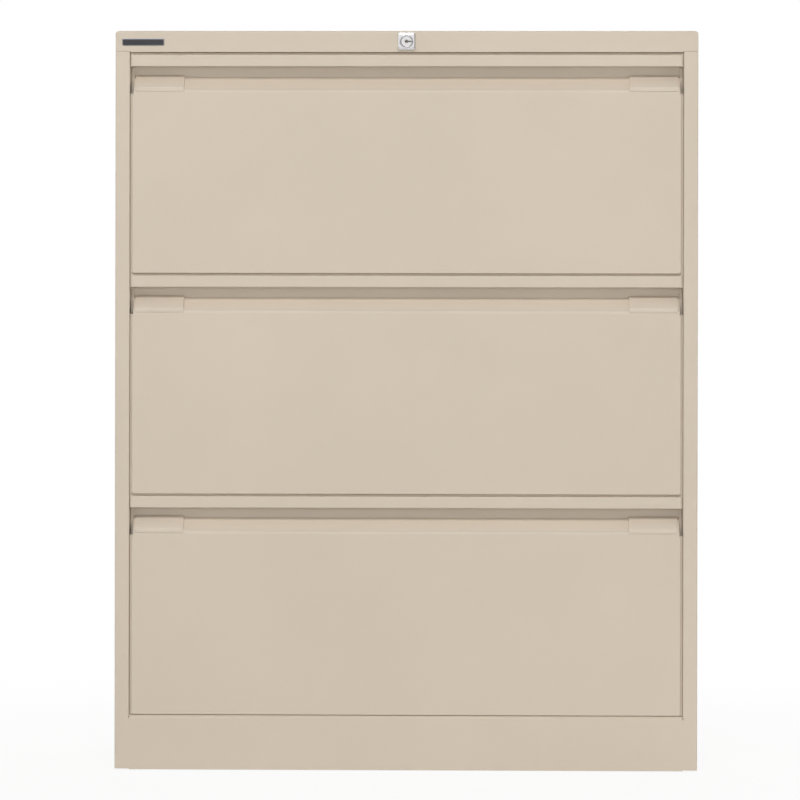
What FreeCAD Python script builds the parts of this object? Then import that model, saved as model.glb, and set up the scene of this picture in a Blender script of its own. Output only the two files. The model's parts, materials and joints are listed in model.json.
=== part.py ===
import FreeCAD, Part
import math
import os
import Sketcher
from FreeCAD import Vector

# A three-drawer side filing cabinet for hanging files, folded from painted sheet steel.
#
# Frame: the origin is at the middle of the bounding box's bottom, +Z up. The front faces -Y, the
# drawers open towards -Y, and a person in front of the cabinet has +X on the right.
# Lengths are in millimetres. Drawer 1 is the top drawer, drawer 3 the bottom one.

doc = FreeCAD.newDocument("side_filing_cabinet")

# The driving dimensions

DRIVING = {
    "cabinet_width": 800.0,
    "cabinet_depth": 470.0,
    "cabinet_height": 1016.0,
    "gauge": 1.0,
    "bend": 1.0,
    "top_round": 4.0,
    "edge_ease": 1.2,
    "skirt_height": 28.0,
    "rail_height": 29.5,
    "rail_return": 16.0,
    "seam": 0.3,
    "stile_width": 20.0,
    "stile_return": 26.0,
    "side_lift": 2.0,
    "rear_flange": 16.0,
    "plinth_top": 73.5,
    "plinth_lift": 1.0,
    "relief_radius": 1.2,
    "drawer_count": 3.0,
    "drawer_pitch": 303.2,
    "drawer_gap": 3.0,
    "lip_height": 16.0,
    "scoop_depth": 22.0,
    "scoop_crest": 30.5,
    "scoop_edge": 49.0,
    "scoop_inset": 1.8,
    "scoop_bend": 8.0,
    "front_fold": 20.0,
    "lap_depth": 2.2,
    "lap_clear": 0.6,
    "lap_thickness": 5.0,
    "tray_floor": 14.0,
    "tray_height": 235.0,
    "tray_hem": 12.0,
    "hook_spacing": 387.0,
    "hook_height": 252.0,
    "holder_width": 67.0,
    "holder_thickness": 3.2,
    "holder_margin": 4.0,
    "holder_proud": 0.6,
    "slide_travel": 400.0,
    "slide_length": 400.0,
    "slide_height": 45.0,
    "slide_width": 12.7,
    "slide_centre": 60.0,
    "slide_gauge": 1.2,
    "cage_length": 200.0,
    "cage_gauge": 0.6,
    "upright_gauge": 1.5,
    "upright_width": 30.0,
    "lock_drop": 15.0,
    "lock_face": 25.0,
    "lock_proud": 6.0,
    "bezel_rim": 2.4,
    "barrel_radius": 11.0,
    "plug_radius": 8.3,
    "running_gap": 0.06,
    "crank_radius": 12.0,
    "drive_pin_radius": 3.0,
    "drive_slot_gap": 0.6,
    "follower_radius": 4.0,
    "follower_gap": 0.3,
    "bar_gauge": 2.0,
    "foot_radius": 15.0,
    "foot_disc": 7.0,
    "stud_radius": 5.0,
}

sheet = doc.addObject("Spreadsheet::Sheet", "sizes")
for row, (alias, value) in enumerate(DRIVING.items(), start=1):
    sheet.set(f"A{row}", alias)
    sheet.set(f"B{row}", str(value))
    sheet.setAlias(f"B{row}", alias)
doc.recompute()


class Size:
    """A length with the sheet formula that drives it, so that arithmetic keeps both together."""

    def __init__(self, number, formula=None):
        self.number = number
        self.formula = formula if formula is not None else repr(float(number))

    def join(self, other, sign, number):
        return Size(number, f"({self.formula} {sign} {size(other).formula})")

    def __add__(self, other):
        return self.join(other, "+", self.number + size(other).number)

    def __sub__(self, other):
        return self.join(other, "-", self.number - size(other).number)

    def __mul__(self, other):
        return self.join(other, "*", self.number * size(other).number)

    def __truediv__(self, other):
        return self.join(other, "/", self.number / size(other).number)

    def __radd__(self, other):
        return size(other) + self

    def __rsub__(self, other):
        return size(other) - self

    def __rmul__(self, other):
        return size(other) * self

    def __neg__(self):
        return size(-1.0) * self


def size(value):
    """Return a plain number as a Size, and a Size as it is."""
    return value if isinstance(value, Size) else Size(float(value))


def cell(alias):
    """Return the driving dimension of that name."""
    return Size(DRIVING[alias], f"sizes.{alias}")


def bind(target, prop, value):
    """Drive one property of an object by a Size."""
    target.setExpression(prop, size(value).formula)


# Sketches, pads and pockets

SKETCH_NORMAL = {"XY_Plane": 1.0, "XZ_Plane": -1.0, "YZ_Plane": 1.0}
X_WAY = "YZ_Plane"
Y_WAY = "XZ_Plane"
Z_WAY = "XY_Plane"


def origin_plane(body, role):
    """Return one of the body's own origin planes."""
    return next(feature for feature in body.Origin.OriginFeatures if feature.Role == role)


def new_body(label, drop=None):
    """Make an empty body. A drop is the height at which a drawer's own frame starts."""
    body = doc.addObject("PartDesign::Body", label)
    body.Label = label
    if drop is not None:
        bind(body, "Placement.Base.z", drop)
    return body


def new_sketch(body, plane, offset):
    """Attach an empty sketch to an origin plane, moved along that plane's positive axis."""
    sketch = body.newObject("Sketcher::SketchObject", f"{body.Label}_sketch")
    sketch.AttachmentSupport = [(origin_plane(body, plane), "")]
    sketch.MapMode = "FlatFace"
    bind(sketch, "AttachmentOffset.Base.z", size(offset) * SKETCH_NORMAL[plane])
    return sketch


def pin_point(sketch, geometry, position, across, up):
    """Fix a point of the sketch to two Sizes, counted from the sketch's origin."""
    for kind, name, axis, value in (("DistanceX", "across", -2, across), ("DistanceY", "up", -1, up)):
        value = size(value)
        if value.number == 0.0:
            sketch.addConstraint(Sketcher.Constraint("PointOnObject", geometry, position, axis))
            continue
        index = sketch.addConstraint(Sketcher.Constraint(kind, -1, 1, geometry, position, value.number))
        label = f"{name}_{index}"
        sketch.renameConstraint(index, label)
        sketch.setExpression(f"Constraints.{label}", value.formula)


def turn_geometry(before, corner, after, radius):
    """Return where a rounded corner starts and ends, its centre, and whether it turns left."""
    way_in = (corner - before).normalize()
    way_out = (after - corner).normalize()
    turn = way_in.cross(way_out).z
    half = math.acos(max(-1.0, min(1.0, way_in.dot(way_out)))) / 2.0
    reach = radius * math.tan(half)
    start = corner - way_in * reach
    end = corner + way_out * reach
    left = Vector(-way_in.y, way_in.x, 0)
    centre = start + left * (radius if turn > 0 else -radius)
    return start, end, centre, turn > 0


def draw_outline(sketch, corners):
    """Draw one closed outline through corners of (across, up) or (across, up, radius)."""
    points = [Vector(size(corner[0]).number, size(corner[1]).number, 0) for corner in corners]
    radii = [size(corner[2]) if len(corner) > 2 else size(0.0) for corner in corners]
    count = len(corners)
    starts = []
    ends = []
    arcs = {}
    for index, point in enumerate(points):
        if radii[index].number == 0.0:
            starts.append(point)
            ends.append(point)
            continue
        before = points[index - 1]
        after = points[(index + 1) % count]
        start, end, centre, left = turn_geometry(before, point, after, radii[index].number)
        starts.append(start)
        ends.append(end)
        arcs[index] = (centre, left)
    first = sketch.GeometryCount
    for index in range(count):
        sketch.addGeometry(Part.LineSegment(ends[index], starts[(index + 1) % count]), False)
    for index in range(count):
        line = first + index
        previous = first + (index - 1) % count
        if index not in arcs:
            sketch.addConstraint(Sketcher.Constraint("Coincident", previous, 2, line, 1))
            pin_point(sketch, line, 1, corners[index][0], corners[index][1])
            continue
        centre, left = arcs[index]
        low, high = (starts[index], ends[index]) if left else (ends[index], starts[index])
        low_angle = math.atan2(low.y - centre.y, low.x - centre.x)
        high_angle = math.atan2(high.y - centre.y, high.x - centre.x)
        circle = Part.Circle(centre, Vector(0, 0, 1), radii[index].number)
        arc = sketch.addGeometry(Part.ArcOfCircle(circle, low_angle, high_angle), False)
        entry, leave = (1, 2) if left else (2, 1)
        sketch.addConstraint(Sketcher.Constraint("Tangent", previous, 2, arc, entry))
        sketch.addConstraint(Sketcher.Constraint("Tangent", arc, leave, line, 1))
        bend = sketch.addConstraint(Sketcher.Constraint("Radius", arc, radii[index].number))
        sketch.renameConstraint(bend, f"round_{bend}")
        sketch.setExpression(f"Constraints.round_{bend}", radii[index].formula)
        mark = sketch.addGeometry(Part.Point(points[index]), True)
        sketch.addConstraint(Sketcher.Constraint("PointOnObject", mark, 1, previous))
        sketch.addConstraint(Sketcher.Constraint("PointOnObject", mark, 1, line))
        pin_point(sketch, mark, 1, corners[index][0], corners[index][1])


def draw_circle(sketch, across, up, radius):
    """Draw a circle with its centre and radius driven by Sizes."""
    across, up, radius = size(across), size(up), size(radius)
    circle = Part.Circle(Vector(across.number, up.number, 0), Vector(0, 0, 1), radius.number)
    geometry = sketch.addGeometry(circle, False)
    index = sketch.addConstraint(Sketcher.Constraint("Radius", geometry, radius.number))
    sketch.renameConstraint(index, f"round_{index}")
    sketch.setExpression(f"Constraints.round_{index}", radius.formula)
    pin_point(sketch, geometry, 3, across, up)


def check_volume(body, before, sign, name):
    """Stop when a feature did not add or remove material as it should."""
    doc.recompute()
    change = (body.Shape.Volume - before) * sign
    if change <= 0.0:
        raise RuntimeError(f"{body.Label}: {name} changed the volume by {change:.3f} mm3")


def extrude(body, plane, low, high, kind, outlines, circles):
    """Add or cut the sketched shapes between two positions along a plane's positive axis."""
    before = body.Shape.Volume if body.Tip else 0.0
    sketch = new_sketch(body, plane, low)
    for outline in outlines:
        draw_outline(sketch, outline)
    for circle in circles:
        draw_circle(sketch, *circle)
    feature = body.newObject(f"PartDesign::{kind}", f"{body.Label}_{kind.lower()}")
    feature.Profile = sketch
    towards_normal = SKETCH_NORMAL[plane] > 0
    feature.Reversed = towards_normal if kind == "Pocket" else not towards_normal
    bind(feature, "Length", size(high) - low)
    sketch.Visibility = False
    check_volume(body, before, -1.0 if kind == "Pocket" else 1.0, feature.Name)
    return feature


def pad(body, plane, low, high, *outlines, circles=()):
    """Add sketched shapes to a body."""
    return extrude(body, plane, low, high, "Pad", outlines, circles)


def pocket(body, plane, low, high, *outlines, circles=()):
    """Cut sketched shapes out of a body."""
    return extrude(body, plane, low, high, "Pocket", outlines, circles)


def rectangle(left, low, right, high, radius=0.0):
    """Return the outline of a rectangle, with its four corners rounded if a radius is given."""
    corners = [(left, low), (right, low), (right, high), (left, high)]
    if size(radius).number == 0.0:
        return corners
    return [(across, up, radius) for across, up in corners]


def strip(path, gauge, side):
    """Return the outline of a folded sheet.

    The path runs along one face of the sheet, and a bend's third value is its inside radius. The
    sheet's thickness lies to the left of the path for side 1, and to the right for side -1.
    """
    points = [Vector(size(corner[0]).number, size(corner[1]).number, 0) for corner in path]
    ways = [(after - before).normalize() for before, after in zip(points, points[1:])]
    normals = [Vector(-way.y, way.x, 0) * side for way in ways]
    near = []
    far = []
    for index, corner in enumerate(path):
        before = normals[max(index - 1, 0)]
        after = normals[min(index, len(normals) - 1)]
        shift = (before + after) * (1.0 / (1.0 + before.dot(after)))
        across = corner[0] + gauge * round(shift.x, 6)
        up = corner[1] + gauge * round(shift.y, 6)
        inside = size(corner[2]) if len(corner) > 2 else size(0.0)
        if inside.number == 0.0:
            near.append((corner[0], corner[1]))
            far.append((across, up))
            continue
        turns_left = ways[index - 1].cross(ways[index]).z > 0
        thick_side_inside = turns_left == (side > 0)
        near.append((corner[0], corner[1], inside + gauge if thick_side_inside else inside))
        far.append((across, up, inside if thick_side_inside else inside + gauge))
    return near + far[::-1]


def facet_bends(corners):
    """Return an outline whose rounded corners are single flats between the same tangent points."""
    points = [Vector(size(corner[0]).number, size(corner[1]).number, 0) for corner in corners]
    flats = []
    for index, corner in enumerate(corners):
        if len(corner) < 3:
            flats.append(corner)
            continue
        before = points[index - 1]
        after = points[(index + 1) % len(points)]
        way_in = (points[index] - before).normalize()
        way_out = (after - points[index]).normalize()
        reach = math.tan(math.acos(way_in.dot(way_out)) / 2.0)
        for way in (way_in * -reach, way_out * reach):
            across = corner[0] + size(corner[2]) * round(way.x, 6)
            up = corner[1] + size(corner[2]) * round(way.y, 6)
            flats.append((across, up))
    return flats


def folded(path, gauge, side):
    """Return the outline of a folded sheet whose bends are single flats, for hidden sheets."""
    return facet_bends(strip(path, gauge, side))


def hand_outline(outline, hand):
    """Mirror an outline across the cabinet's middle for hand -1."""
    return [(corner[0] * hand,) + tuple(corner[1:]) for corner in outline]


def mirror_copy(body, features):
    """Repeat features on the other side of the cabinet, as a second solid of the same body."""
    before = body.Shape.Volume
    mirrored = body.newObject("PartDesign::Mirrored", f"{body.Label}_mirror")
    mirrored.Originals = features
    mirrored.MirrorPlane = (origin_plane(body, "YZ_Plane"), [""])
    body.Tip = mirrored
    check_volume(body, before, 1.0, mirrored.Name)
    return mirrored


def repeat(body, features, axis, length, count):
    """Repeat features along one of the body's origin axes, over a whole length."""
    pattern = body.newObject("PartDesign::LinearPattern", f"{body.Label}_row")
    pattern.Originals = features
    pattern.Direction = (origin_plane(body, axis), [""])
    pattern.Occurrences = count
    bind(pattern, "Length", length)
    body.Tip = pattern
    doc.recompute()


def lies_at(low, high, value):
    """Say whether a bounding box is flat at a value along one axis."""
    return abs(low - value) < 0.01 and abs(high - value) < 0.01


# Places worked out from the driving dimensions

gauge = cell("gauge")
bend = cell("bend")
half_width = cell("cabinet_width") / 2
back = (cell("cabinet_depth") + cell("lock_proud")) / 2
front = back - cell("cabinet_depth")
top = cell("cabinet_height")
side_top = top - cell("skirt_height") - cell("seam")
opening_half = half_width - cell("stile_width")
plinth_top = cell("plinth_top")

front_half = opening_half - cell("drawer_gap")
front_height = cell("drawer_pitch") - cell("drawer_gap")
tray_half = opening_half - cell("slide_width")
liner_back = front + cell("scoop_depth") + 3 * gauge + 0.2
hook_edge = liner_back + 8.0
tray_back = hook_edge + cell("hook_spacing") + 8.2

upright_front = front + 50.0
upright_rear = back - 90.0
base_top = plinth_top - 2.0

lock_height = top - cell("lock_drop")
link_front = front + 29.0
link_back = link_front + cell("bar_gauge")
bar_front = front + 34.0
bar_back = bar_front + cell("bar_gauge")
bar_outer = half_width - 4.0
bar_inner = half_width - 15.0
follower_across = half_width - 48.0
follower_height = top - 37.0
hook_low = 171.0
hook_high = 187.0
catch_low = hook_high + 3.0

DRAWERS = (1, 2, 3)


def drawer_base(number):
    """Return the height of a drawer front's lower edge."""
    return plinth_top + cell("drawer_gap") + (cell("drawer_count") - number) * cell("drawer_pitch")


# The cabinet's casing

def build_top_panel():
    """A cap over the whole cabinet: its front skirt is the top rail, and the lock sits in it."""
    body = new_body("top_panel")
    skirt_low = top - cell("skirt_height")
    rounded = cell("top_round")
    section = [
        (-half_width, skirt_low),
        (half_width, skirt_low),
        (half_width, top, rounded),
        (-half_width, top, rounded),
    ]
    pad(body, Y_WAY, front, back, section)
    hollow = [
        (-half_width + gauge, skirt_low - 1.0),
        (half_width - gauge, skirt_low - 1.0),
        (half_width - gauge, top - gauge, rounded - gauge),
        (-half_width + gauge, top - gauge, rounded - gauge),
    ]
    pocket(body, Y_WAY, front + gauge, back - gauge, hollow)
    rail_low = top - cell("rail_height")
    rail = [
        (front, skirt_low + gauge),
        (front, rail_low, bend),
        (front + cell("rail_return"), rail_low),
    ]
    rail_half = opening_half - 0.5
    pad(body, X_WAY, -rail_half, rail_half, strip(rail, gauge, 1))
    for hand, corner_edge in ((-1, front), (1, back)):
        ease = [
            (corner_edge, top - cell("edge_ease")),
            (corner_edge + hand * -1 * cell("edge_ease"), top),
            (corner_edge, top + 1.0),
            (corner_edge + hand * 1.0, top + 1.0),
            (corner_edge + hand * 1.0, top - cell("edge_ease")),
        ]
        pocket(body, X_WAY, -half_width - 1.0, half_width + 1.0, ease)
    hole_radius = cell("barrel_radius") + 0.15
    pocket(body, Y_WAY, front - 1.0, front + 3.0, circles=[(0.0, lock_height, hole_radius)])


def build_side(label, hand):
    """A side wall folded round into the front stile, with flanges at the back, top and bottom."""
    body = new_body(label)
    stile_edge = opening_half
    wall_back = back - gauge
    flange_edge = half_width - cell("rear_flange")
    wall = [
        (half_width, front, bend),
        (half_width, wall_back, bend),
        (flange_edge, wall_back),
    ]
    lower = [(stile_edge, front)] + wall
    upper = [(stile_edge, front + cell("stile_return")), (stile_edge, front, bend)] + wall
    pad(body, Z_WAY, cell("side_lift"), plinth_top, hand_outline(strip(lower, gauge, 1), hand))
    pad(body, Z_WAY, plinth_top, side_top, hand_outline(strip(upper, gauge, 1), hand))
    top_flange = rectangle(half_width - 17.0, front + 60.0, half_width - gauge / 2, back - 20.0)
    pad(body, Z_WAY, side_top - gauge, side_top, hand_outline(top_flange, hand))
    foot_flange = rectangle(half_width - 18.0, front + 30.0, half_width - gauge / 2, back - 20.0)
    lift = cell("side_lift")
    pad(body, Z_WAY, lift, lift + gauge, hand_outline(foot_flange, hand))
    relief = ((stile_edge + 0.3) * hand, plinth_top - 1.0, cell("relief_radius"))
    pocket(body, Y_WAY, front - 1.0, front + 3.0, circles=[relief])


def build_back_panel():
    """A flat sheet over the back, with a stiffening flange along its lower edge."""
    body = new_body("back_panel")
    low = cell("side_lift") + 1.0
    panel = rectangle(-half_width + 0.5, low, half_width - 0.5, side_top)
    pad(body, Y_WAY, back - gauge, back, panel)
    inner = half_width - cell("rear_flange") - 2.0
    pad(body, Z_WAY, low, low + gauge, rectangle(-inner, back - 14.0, inner, back - gauge / 2))


def build_plinth():
    """The deep front plinth between the stiles, folded back at its top and its foot."""
    body = new_body("plinth")
    deep = front + 26.0
    foot = front + 16.0
    low = cell("plinth_lift")
    path = [
        (deep, plinth_top - 13.5),
        (deep, plinth_top),
        (front, plinth_top, bend),
        (front, low),
        (foot, low),
        (foot, low + 9.0),
    ]
    pad(body, X_WAY, -opening_half, opening_half, strip(path, gauge, 1))
    near = front + cell("lap_depth")
    crown = plinth_top + cell("drawer_gap") - cell("lap_clear")
    lap = rectangle(near, plinth_top - gauge / 2, near + cell("lap_thickness"), crown)
    pad(body, X_WAY, -opening_half, opening_half, lap)


def build_base_pan():
    """The floor sheet under the bottom drawer, with flanges down all round."""
    body = new_body("base_pan")
    wide = half_width - gauge - 0.2
    fold = base_top - 22.0
    rear = back - 2 * gauge - 0.2
    near = front + 30.0
    path = [(-wide, fold), (-wide, base_top, bend), (wide, base_top, bend), (wide, fold)]
    pad(body, Y_WAY, near, rear, folded(path, gauge, -1))
    inside = wide - 2.5
    pad(body, Y_WAY, near, near + gauge, rectangle(-inside, fold, inside, base_top - gauge / 2))
    pad(body, Y_WAY, rear - gauge, rear, rectangle(-inside, fold, inside, base_top - gauge / 2))


def build_uprights(label, near):
    """A pair of channels that carry the drawer slides, with a ladder of slots for their hooks."""
    body = new_body(label)
    far = near + cell("upright_width")
    wall = half_width - gauge - 0.1
    face = opening_half
    path = [(wall, near), (face, near, bend), (face, far, bend), (wall, far)]
    channel = pad(body, Z_WAY, base_top, side_top - 2.0, folded(path, cell("upright_gauge"), -1))
    mirror_copy(body, [channel])
    middle = near + cell("upright_width") / 2
    lowest = drawer_base(3) + cell("slide_centre")
    slot = rectangle(middle - 2.0, lowest - 7.0, middle + 2.0, lowest + 7.0)
    right_slot = pocket(body, X_WAY, face - 1.0, face + 3.0, slot)
    left_slot = pocket(body, X_WAY, -face - 3.0, -face + 1.0, slot)
    slots = 12
    span = cell("drawer_pitch") * ((slots - 1) / 4.0)
    repeat(body, [right_slot, left_slot], "Z_Axis", span, slots)


# The feet

def foot_places():
    """Return the four places of the levelling feet."""
    across = half_width - 45.0
    return [(across * hand, along) for hand in (-1, 1) for along in (front + 52.0, back - 52.0)]


def build_foot_brackets():
    """Angles welded to the side walls, each with a notch for a levelling stud."""
    body = new_body("foot_brackets")
    leg = 2.5
    wall = half_width - gauge
    reach = half_width - 66.0
    path = [(wall, 48.0), (wall, 20.0, bend), (reach, 20.0)]
    notch = cell("stud_radius") + 0.5
    for along in (front + 52.0, back - 52.0):
        for hand in (-1, 1):
            outline = hand_outline(folded(path, leg, -1), hand)
            pad(body, Y_WAY, along - 22.0, along + 22.0, outline)
    for across, along in foot_places():
        hand = 1 if across.number > 0 else -1
        inner = across - hand * 24.0
        outer = across + hand * notch
        left, right = (inner, outer) if hand > 0 else (outer, inner)
        pocket(body, Z_WAY, 19.0, 24.0, rectangle(left, along - notch, right, along + notch))


def build_foot_nuts():
    """Hexagonal weld nuts on the foot brackets."""
    body = new_body("foot_nuts")
    corner = 17.0 / math.sqrt(3.0)
    for across, along in foot_places():
        hexagon = [
            (
                across + round(corner * math.cos(math.radians(60 * step)), 4),
                along + round(corner * math.sin(math.radians(60 * step)), 4),
            )
            for step in range(6)
        ]
        pad(body, Z_WAY, 22.5, 30.5, hexagon, circles=[(across, along, cell("stud_radius") + 0.05)])


def build_levelling_feet():
    """Round glides on threaded studs."""
    body = new_body("levelling_feet")
    disc = cell("foot_disc")
    discs = [(across, along, cell("foot_radius")) for across, along in foot_places()]
    studs = [(across, along, cell("stud_radius")) for across, along in foot_places()]
    pad(body, Z_WAY, 0.0, disc, circles=discs)
    pad(body, Z_WAY, disc, 44.0, circles=studs)


# The drawers

def build_drawer_front(number):
    """The folded front skin: a hemmed pull lip, the scoop behind it, and the wide flat panel."""
    body = new_body(f"drawer_{number}_front", drawer_base(number))
    depth = cell("scoop_depth")
    crest = front_height - cell("scoop_crest")
    edge = front_height - cell("scoop_edge")
    fold = front + cell("front_fold")
    inner_half = front_half - cell("scoop_inset")
    lip = [
        (front, front_height - cell("lip_height")),
        (front, front_height, bend),
        (front + depth + gauge, front_height),
    ]
    scoop = [
        (front + depth + gauge, crest),
        (front + gauge, edge, cell("scoop_bend")),
        (front + gauge, gauge, bend),
        (fold, gauge),
        (fold, 12.0),
    ]
    pad(body, X_WAY, -inner_half, inner_half, strip(lip + scoop, gauge, -1))
    lip_half = front_half + 0.3
    lip_end = lip[:2] + [(front + depth, front_height)]
    pad(body, X_WAY, -lip_half, lip_half, strip(lip_end, gauge, -1))
    flanges = [
        (-front_half, fold),
        (-front_half, front, bend),
        (front_half, front, bend),
        (front_half, fold),
    ]
    pad(body, Z_WAY, 0.0, edge - 6.0, strip(flanges, gauge, 1))
    hem_low = front_height - cell("lip_height")
    hem = [
        (front + gauge / 2, hem_low),
        (front + 2.2 * gauge, hem_low, gauge),
        (front + 2.2 * gauge, hem_low + 9.0),
        (front + gauge / 2, hem_low + 9.0),
    ]
    pad(body, X_WAY, -lip_half, lip_half, hem)
    near = front + cell("lap_depth")
    far = near + cell("lap_thickness")
    edge_half = opening_half - cell("lap_clear")
    crown = front_height + cell("drawer_gap") - cell("lap_clear")
    right_lap = rectangle(inner_half - 1.0, near, edge_half, far)
    left_lap = rectangle(-edge_half, near, 1.0 - inner_half, far)
    pad(body, Z_WAY, 0.0, crown, right_lap, left_lap)
    pad(body, Y_WAY, near, far, rectangle(-edge_half, front_height - gauge / 2, edge_half, crown))


def build_front_liner(number):
    """The inner skin that closes the back of the folded front and carries the tray."""
    body = new_body(f"drawer_{number}_front_liner", drawer_base(number))
    half = front_half - 5.0
    low = cell("tray_floor")
    shoulder = front_height - 100.0
    high = front_height - 10.0
    path = [
        (-half, front + 8.0),
        (-half, liner_back, bend),
        (half, liner_back, bend),
        (half, front + 8.0),
    ]
    pad(body, Z_WAY, low, shoulder, folded(path, gauge, -1))
    pad(body, Y_WAY, liner_back - gauge, liner_back, rectangle(-half, shoulder, half, high))


def build_tray(number):
    """The drawer's body: two sides with inward hems, and a floor and a back welded between them."""
    body = new_body(f"drawer_{number}_tray", drawer_base(number))
    floor = cell("tray_floor")
    high = cell("tray_height")
    seam = 0.1
    side = [
        (tray_half, floor),
        (tray_half, high, bend),
        (tray_half - cell("tray_hem"), high),
    ]
    right = pad(body, Y_WAY, liner_back, tray_back, strip(side, gauge, 1))
    mirror_copy(body, [right])
    inside = tray_half - gauge - seam
    sheet = rectangle(-inside, liner_back, inside, tray_back - gauge - seam)
    pad(body, Z_WAY, floor, floor + gauge, sheet)
    wall = rectangle(-inside, floor, inside, high - bend - gauge)
    pad(body, Y_WAY, tray_back - gauge, tray_back, wall)
    slots = slide_hooks(0.5)
    pocket(body, X_WAY, tray_half - 3.0, tray_half + 1.0, *slots)
    pocket(body, X_WAY, -tray_half - 1.0, -tray_half + 3.0, *slots)


def slide_hooks(clear):
    """Return the outlines of the hooks that hold an inner member in the tray's slots."""
    centre = cell("slide_centre")
    places = (liner_back + 60.0, liner_back + 340.0)
    return [
        rectangle(along - 4.0 - clear, centre - 1.0 - clear, along + 4.0 + clear, centre + 1.0 + clear)
        for along in places
    ]


def build_hanging_rails(number):
    """The front and rear rails whose upturned edges carry the hooks of the hanging files."""
    body = new_body(f"drawer_{number}_hanging_rails", drawer_base(number))
    half = tray_half - cell("tray_hem") - 0.3
    high = cell("hook_height")
    shelf = high - 8.0
    low = cell("tray_height") - 12.0
    front_rail = [
        (liner_back, low),
        (liner_back, shelf, bend),
        (hook_edge - gauge / 2, shelf, bend),
        (hook_edge - gauge / 2, high),
    ]
    rear_edge = hook_edge + cell("hook_spacing")
    rear_web = tray_back - gauge
    rear_rail = [
        (rear_web, low),
        (rear_web, shelf, bend),
        (rear_edge + gauge / 2, shelf, bend),
        (rear_edge + gauge / 2, high),
    ]
    pad(body, X_WAY, -half, half, folded(front_rail, gauge, -1))
    pad(body, X_WAY, -half, half, folded(rear_rail, gauge, 1))


def build_label_holders(number):
    """Two label holders on the scoop's slope, one near each end, whose tongues hang over its edge."""
    body = new_body(f"drawer_{number}_label_holders", drawer_base(number))
    depth = DRIVING["scoop_depth"]
    rise = DRIVING["scoop_edge"] - DRIVING["scoop_crest"]
    slope = rise / depth
    lean = math.hypot(1.0, slope)
    crest = front_height - cell("scoop_crest")
    low_in = -0.05
    proud = cell("holder_proud")
    tongue = front_height - cell("scoop_edge") - 1.3
    high_in = cell("scoop_depth") - 1.3
    skin = DRIVING["gauge"]
    clear = round((skin + 0.15) * lean - skin * slope, 6)
    thick = cell("holder_thickness") * round(lean, 6)
    low_z = crest - (cell("scoop_depth") - low_in) * round(slope, 6) + clear
    nose_z = low_z + (-proud - low_in) * round(slope, 6) + thick
    high_z = crest - (cell("scoop_depth") - high_in) * round(slope, 6) + clear
    section = [
        (front - proud, tongue),
        (front + low_in, tongue),
        (front + low_in, low_z),
        (front + high_in, high_z),
        (front + high_in, high_z + thick),
        (front - proud, nose_z, 1.2),
    ]
    outer = front_half - cell("holder_margin")
    plate = pad(body, X_WAY, outer - cell("holder_width"), outer, section)
    mirror_copy(body, [plate])


def build_catch(number):
    """The angle on the tray's left side that the lock bar's hook stops."""
    body = new_body(f"drawer_{number}_catch", drawer_base(number))
    face = front + 47.5
    wall = -tray_half
    path = [(wall, face + 26.0), (wall, face, bend), (wall - 9.2, face)]
    pad(body, Z_WAY, catch_low, catch_low + 22.0, folded(path, Size(1.5), -1))


# The telescopic slides

def slide_point(inward, up):
    """Return a point of the right slide's section, from its outer face and its middle height."""
    return (opening_half - inward, cell("slide_centre") + up)


def slide_section(near, far, reach, gauge_size, lip, radius):
    """Return a C-shaped slide section.

    It is `near` and `far` from the upright, half as high as `reach`, and its flanges end in lips of
    height `lip` when there is one. The web stands at `near` and the flanges point towards `far`.
    """
    path = []
    for up in (1, -1):
        corners = [slide_point(far, reach * up), slide_point(near, reach * up) + (radius,)]
        if lip:
            corners[0] = corners[0] + (Size(0.8),)
            corners.insert(0, slide_point(far, (reach - lip) * up))
        path += corners if up > 0 else corners[::-1]
    opens_inward = size(far).number > size(near).number
    return folded(path, gauge_size, -1 if opens_inward else 1)


SLIDE_START = 30.0


def build_slide_outer(number):
    """The fixed members of a drawer's pair of slides, hooked into the uprights."""
    body = new_body(f"drawer_{number}_slide_outer", drawer_base(number))
    thick = cell("slide_gauge")
    reach = cell("slide_height") / 2
    section = slide_section(Size(0.0), Size(11.5), reach, thick, Size(2.4), Size(1.4))
    start = front + SLIDE_START
    channel = pad(body, Y_WAY, start, start + cell("slide_length"), section)
    hooks = []
    for near in (upright_front, upright_rear):
        middle = near + cell("upright_width") / 2
        centre = cell("slide_centre")
        hook = rectangle(middle - 1.5, centre - 5.0, middle + 1.5, centre + 5.0)
        hooks.append(pad(body, X_WAY, opening_half - thick / 2, opening_half + 4.0, hook))
    mirror_copy(body, [channel] + hooks)


def build_slide_middle(number):
    """The middle members, which run out half as far as the drawer."""
    body = new_body(f"drawer_{number}_slide_middle", drawer_base(number))
    thick = cell("slide_gauge")
    reach = cell("slide_height") / 2 - 5.2
    section = slide_section(Size(2.4), Size(11.3), reach, thick, None, Size(1.4))
    start = front + SLIDE_START + 1.0
    channel = pad(body, Y_WAY, start, start + cell("slide_length") - 2.0, section)
    mirror_copy(body, [channel])


def build_slide_inner(number):
    """The inner members, hooked into the tray's sides."""
    body = new_body(f"drawer_{number}_slide_inner", drawer_base(number))
    thick = cell("slide_gauge")
    reach = cell("slide_height") / 2 - 9.6
    section = slide_section(cell("slide_width"), Size(4.9), reach, thick, None, Size(1.4))
    start = front + SLIDE_START
    channel = pad(body, Y_WAY, start, start + cell("slide_length"), section)
    hooks = pad(body, X_WAY, tray_half - 4.0, tray_half + thick / 2, *slide_hooks(0.0))
    mirror_copy(body, [channel, hooks])


def build_cages(number, label, near, far, reach):
    """A pair of ball cages, each a thin channel between two members of a slide."""
    body = new_body(f"drawer_{number}_{label}", drawer_base(number))
    section = slide_section(Size(near), Size(far), Size(reach), cell("cage_gauge"), None, Size(1.0))
    start = front + SLIDE_START + cell("slide_travel") / 4
    channel = pad(body, Y_WAY, start, start + cell("cage_length"), section)
    mirror_copy(body, [channel])


# The lock

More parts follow.
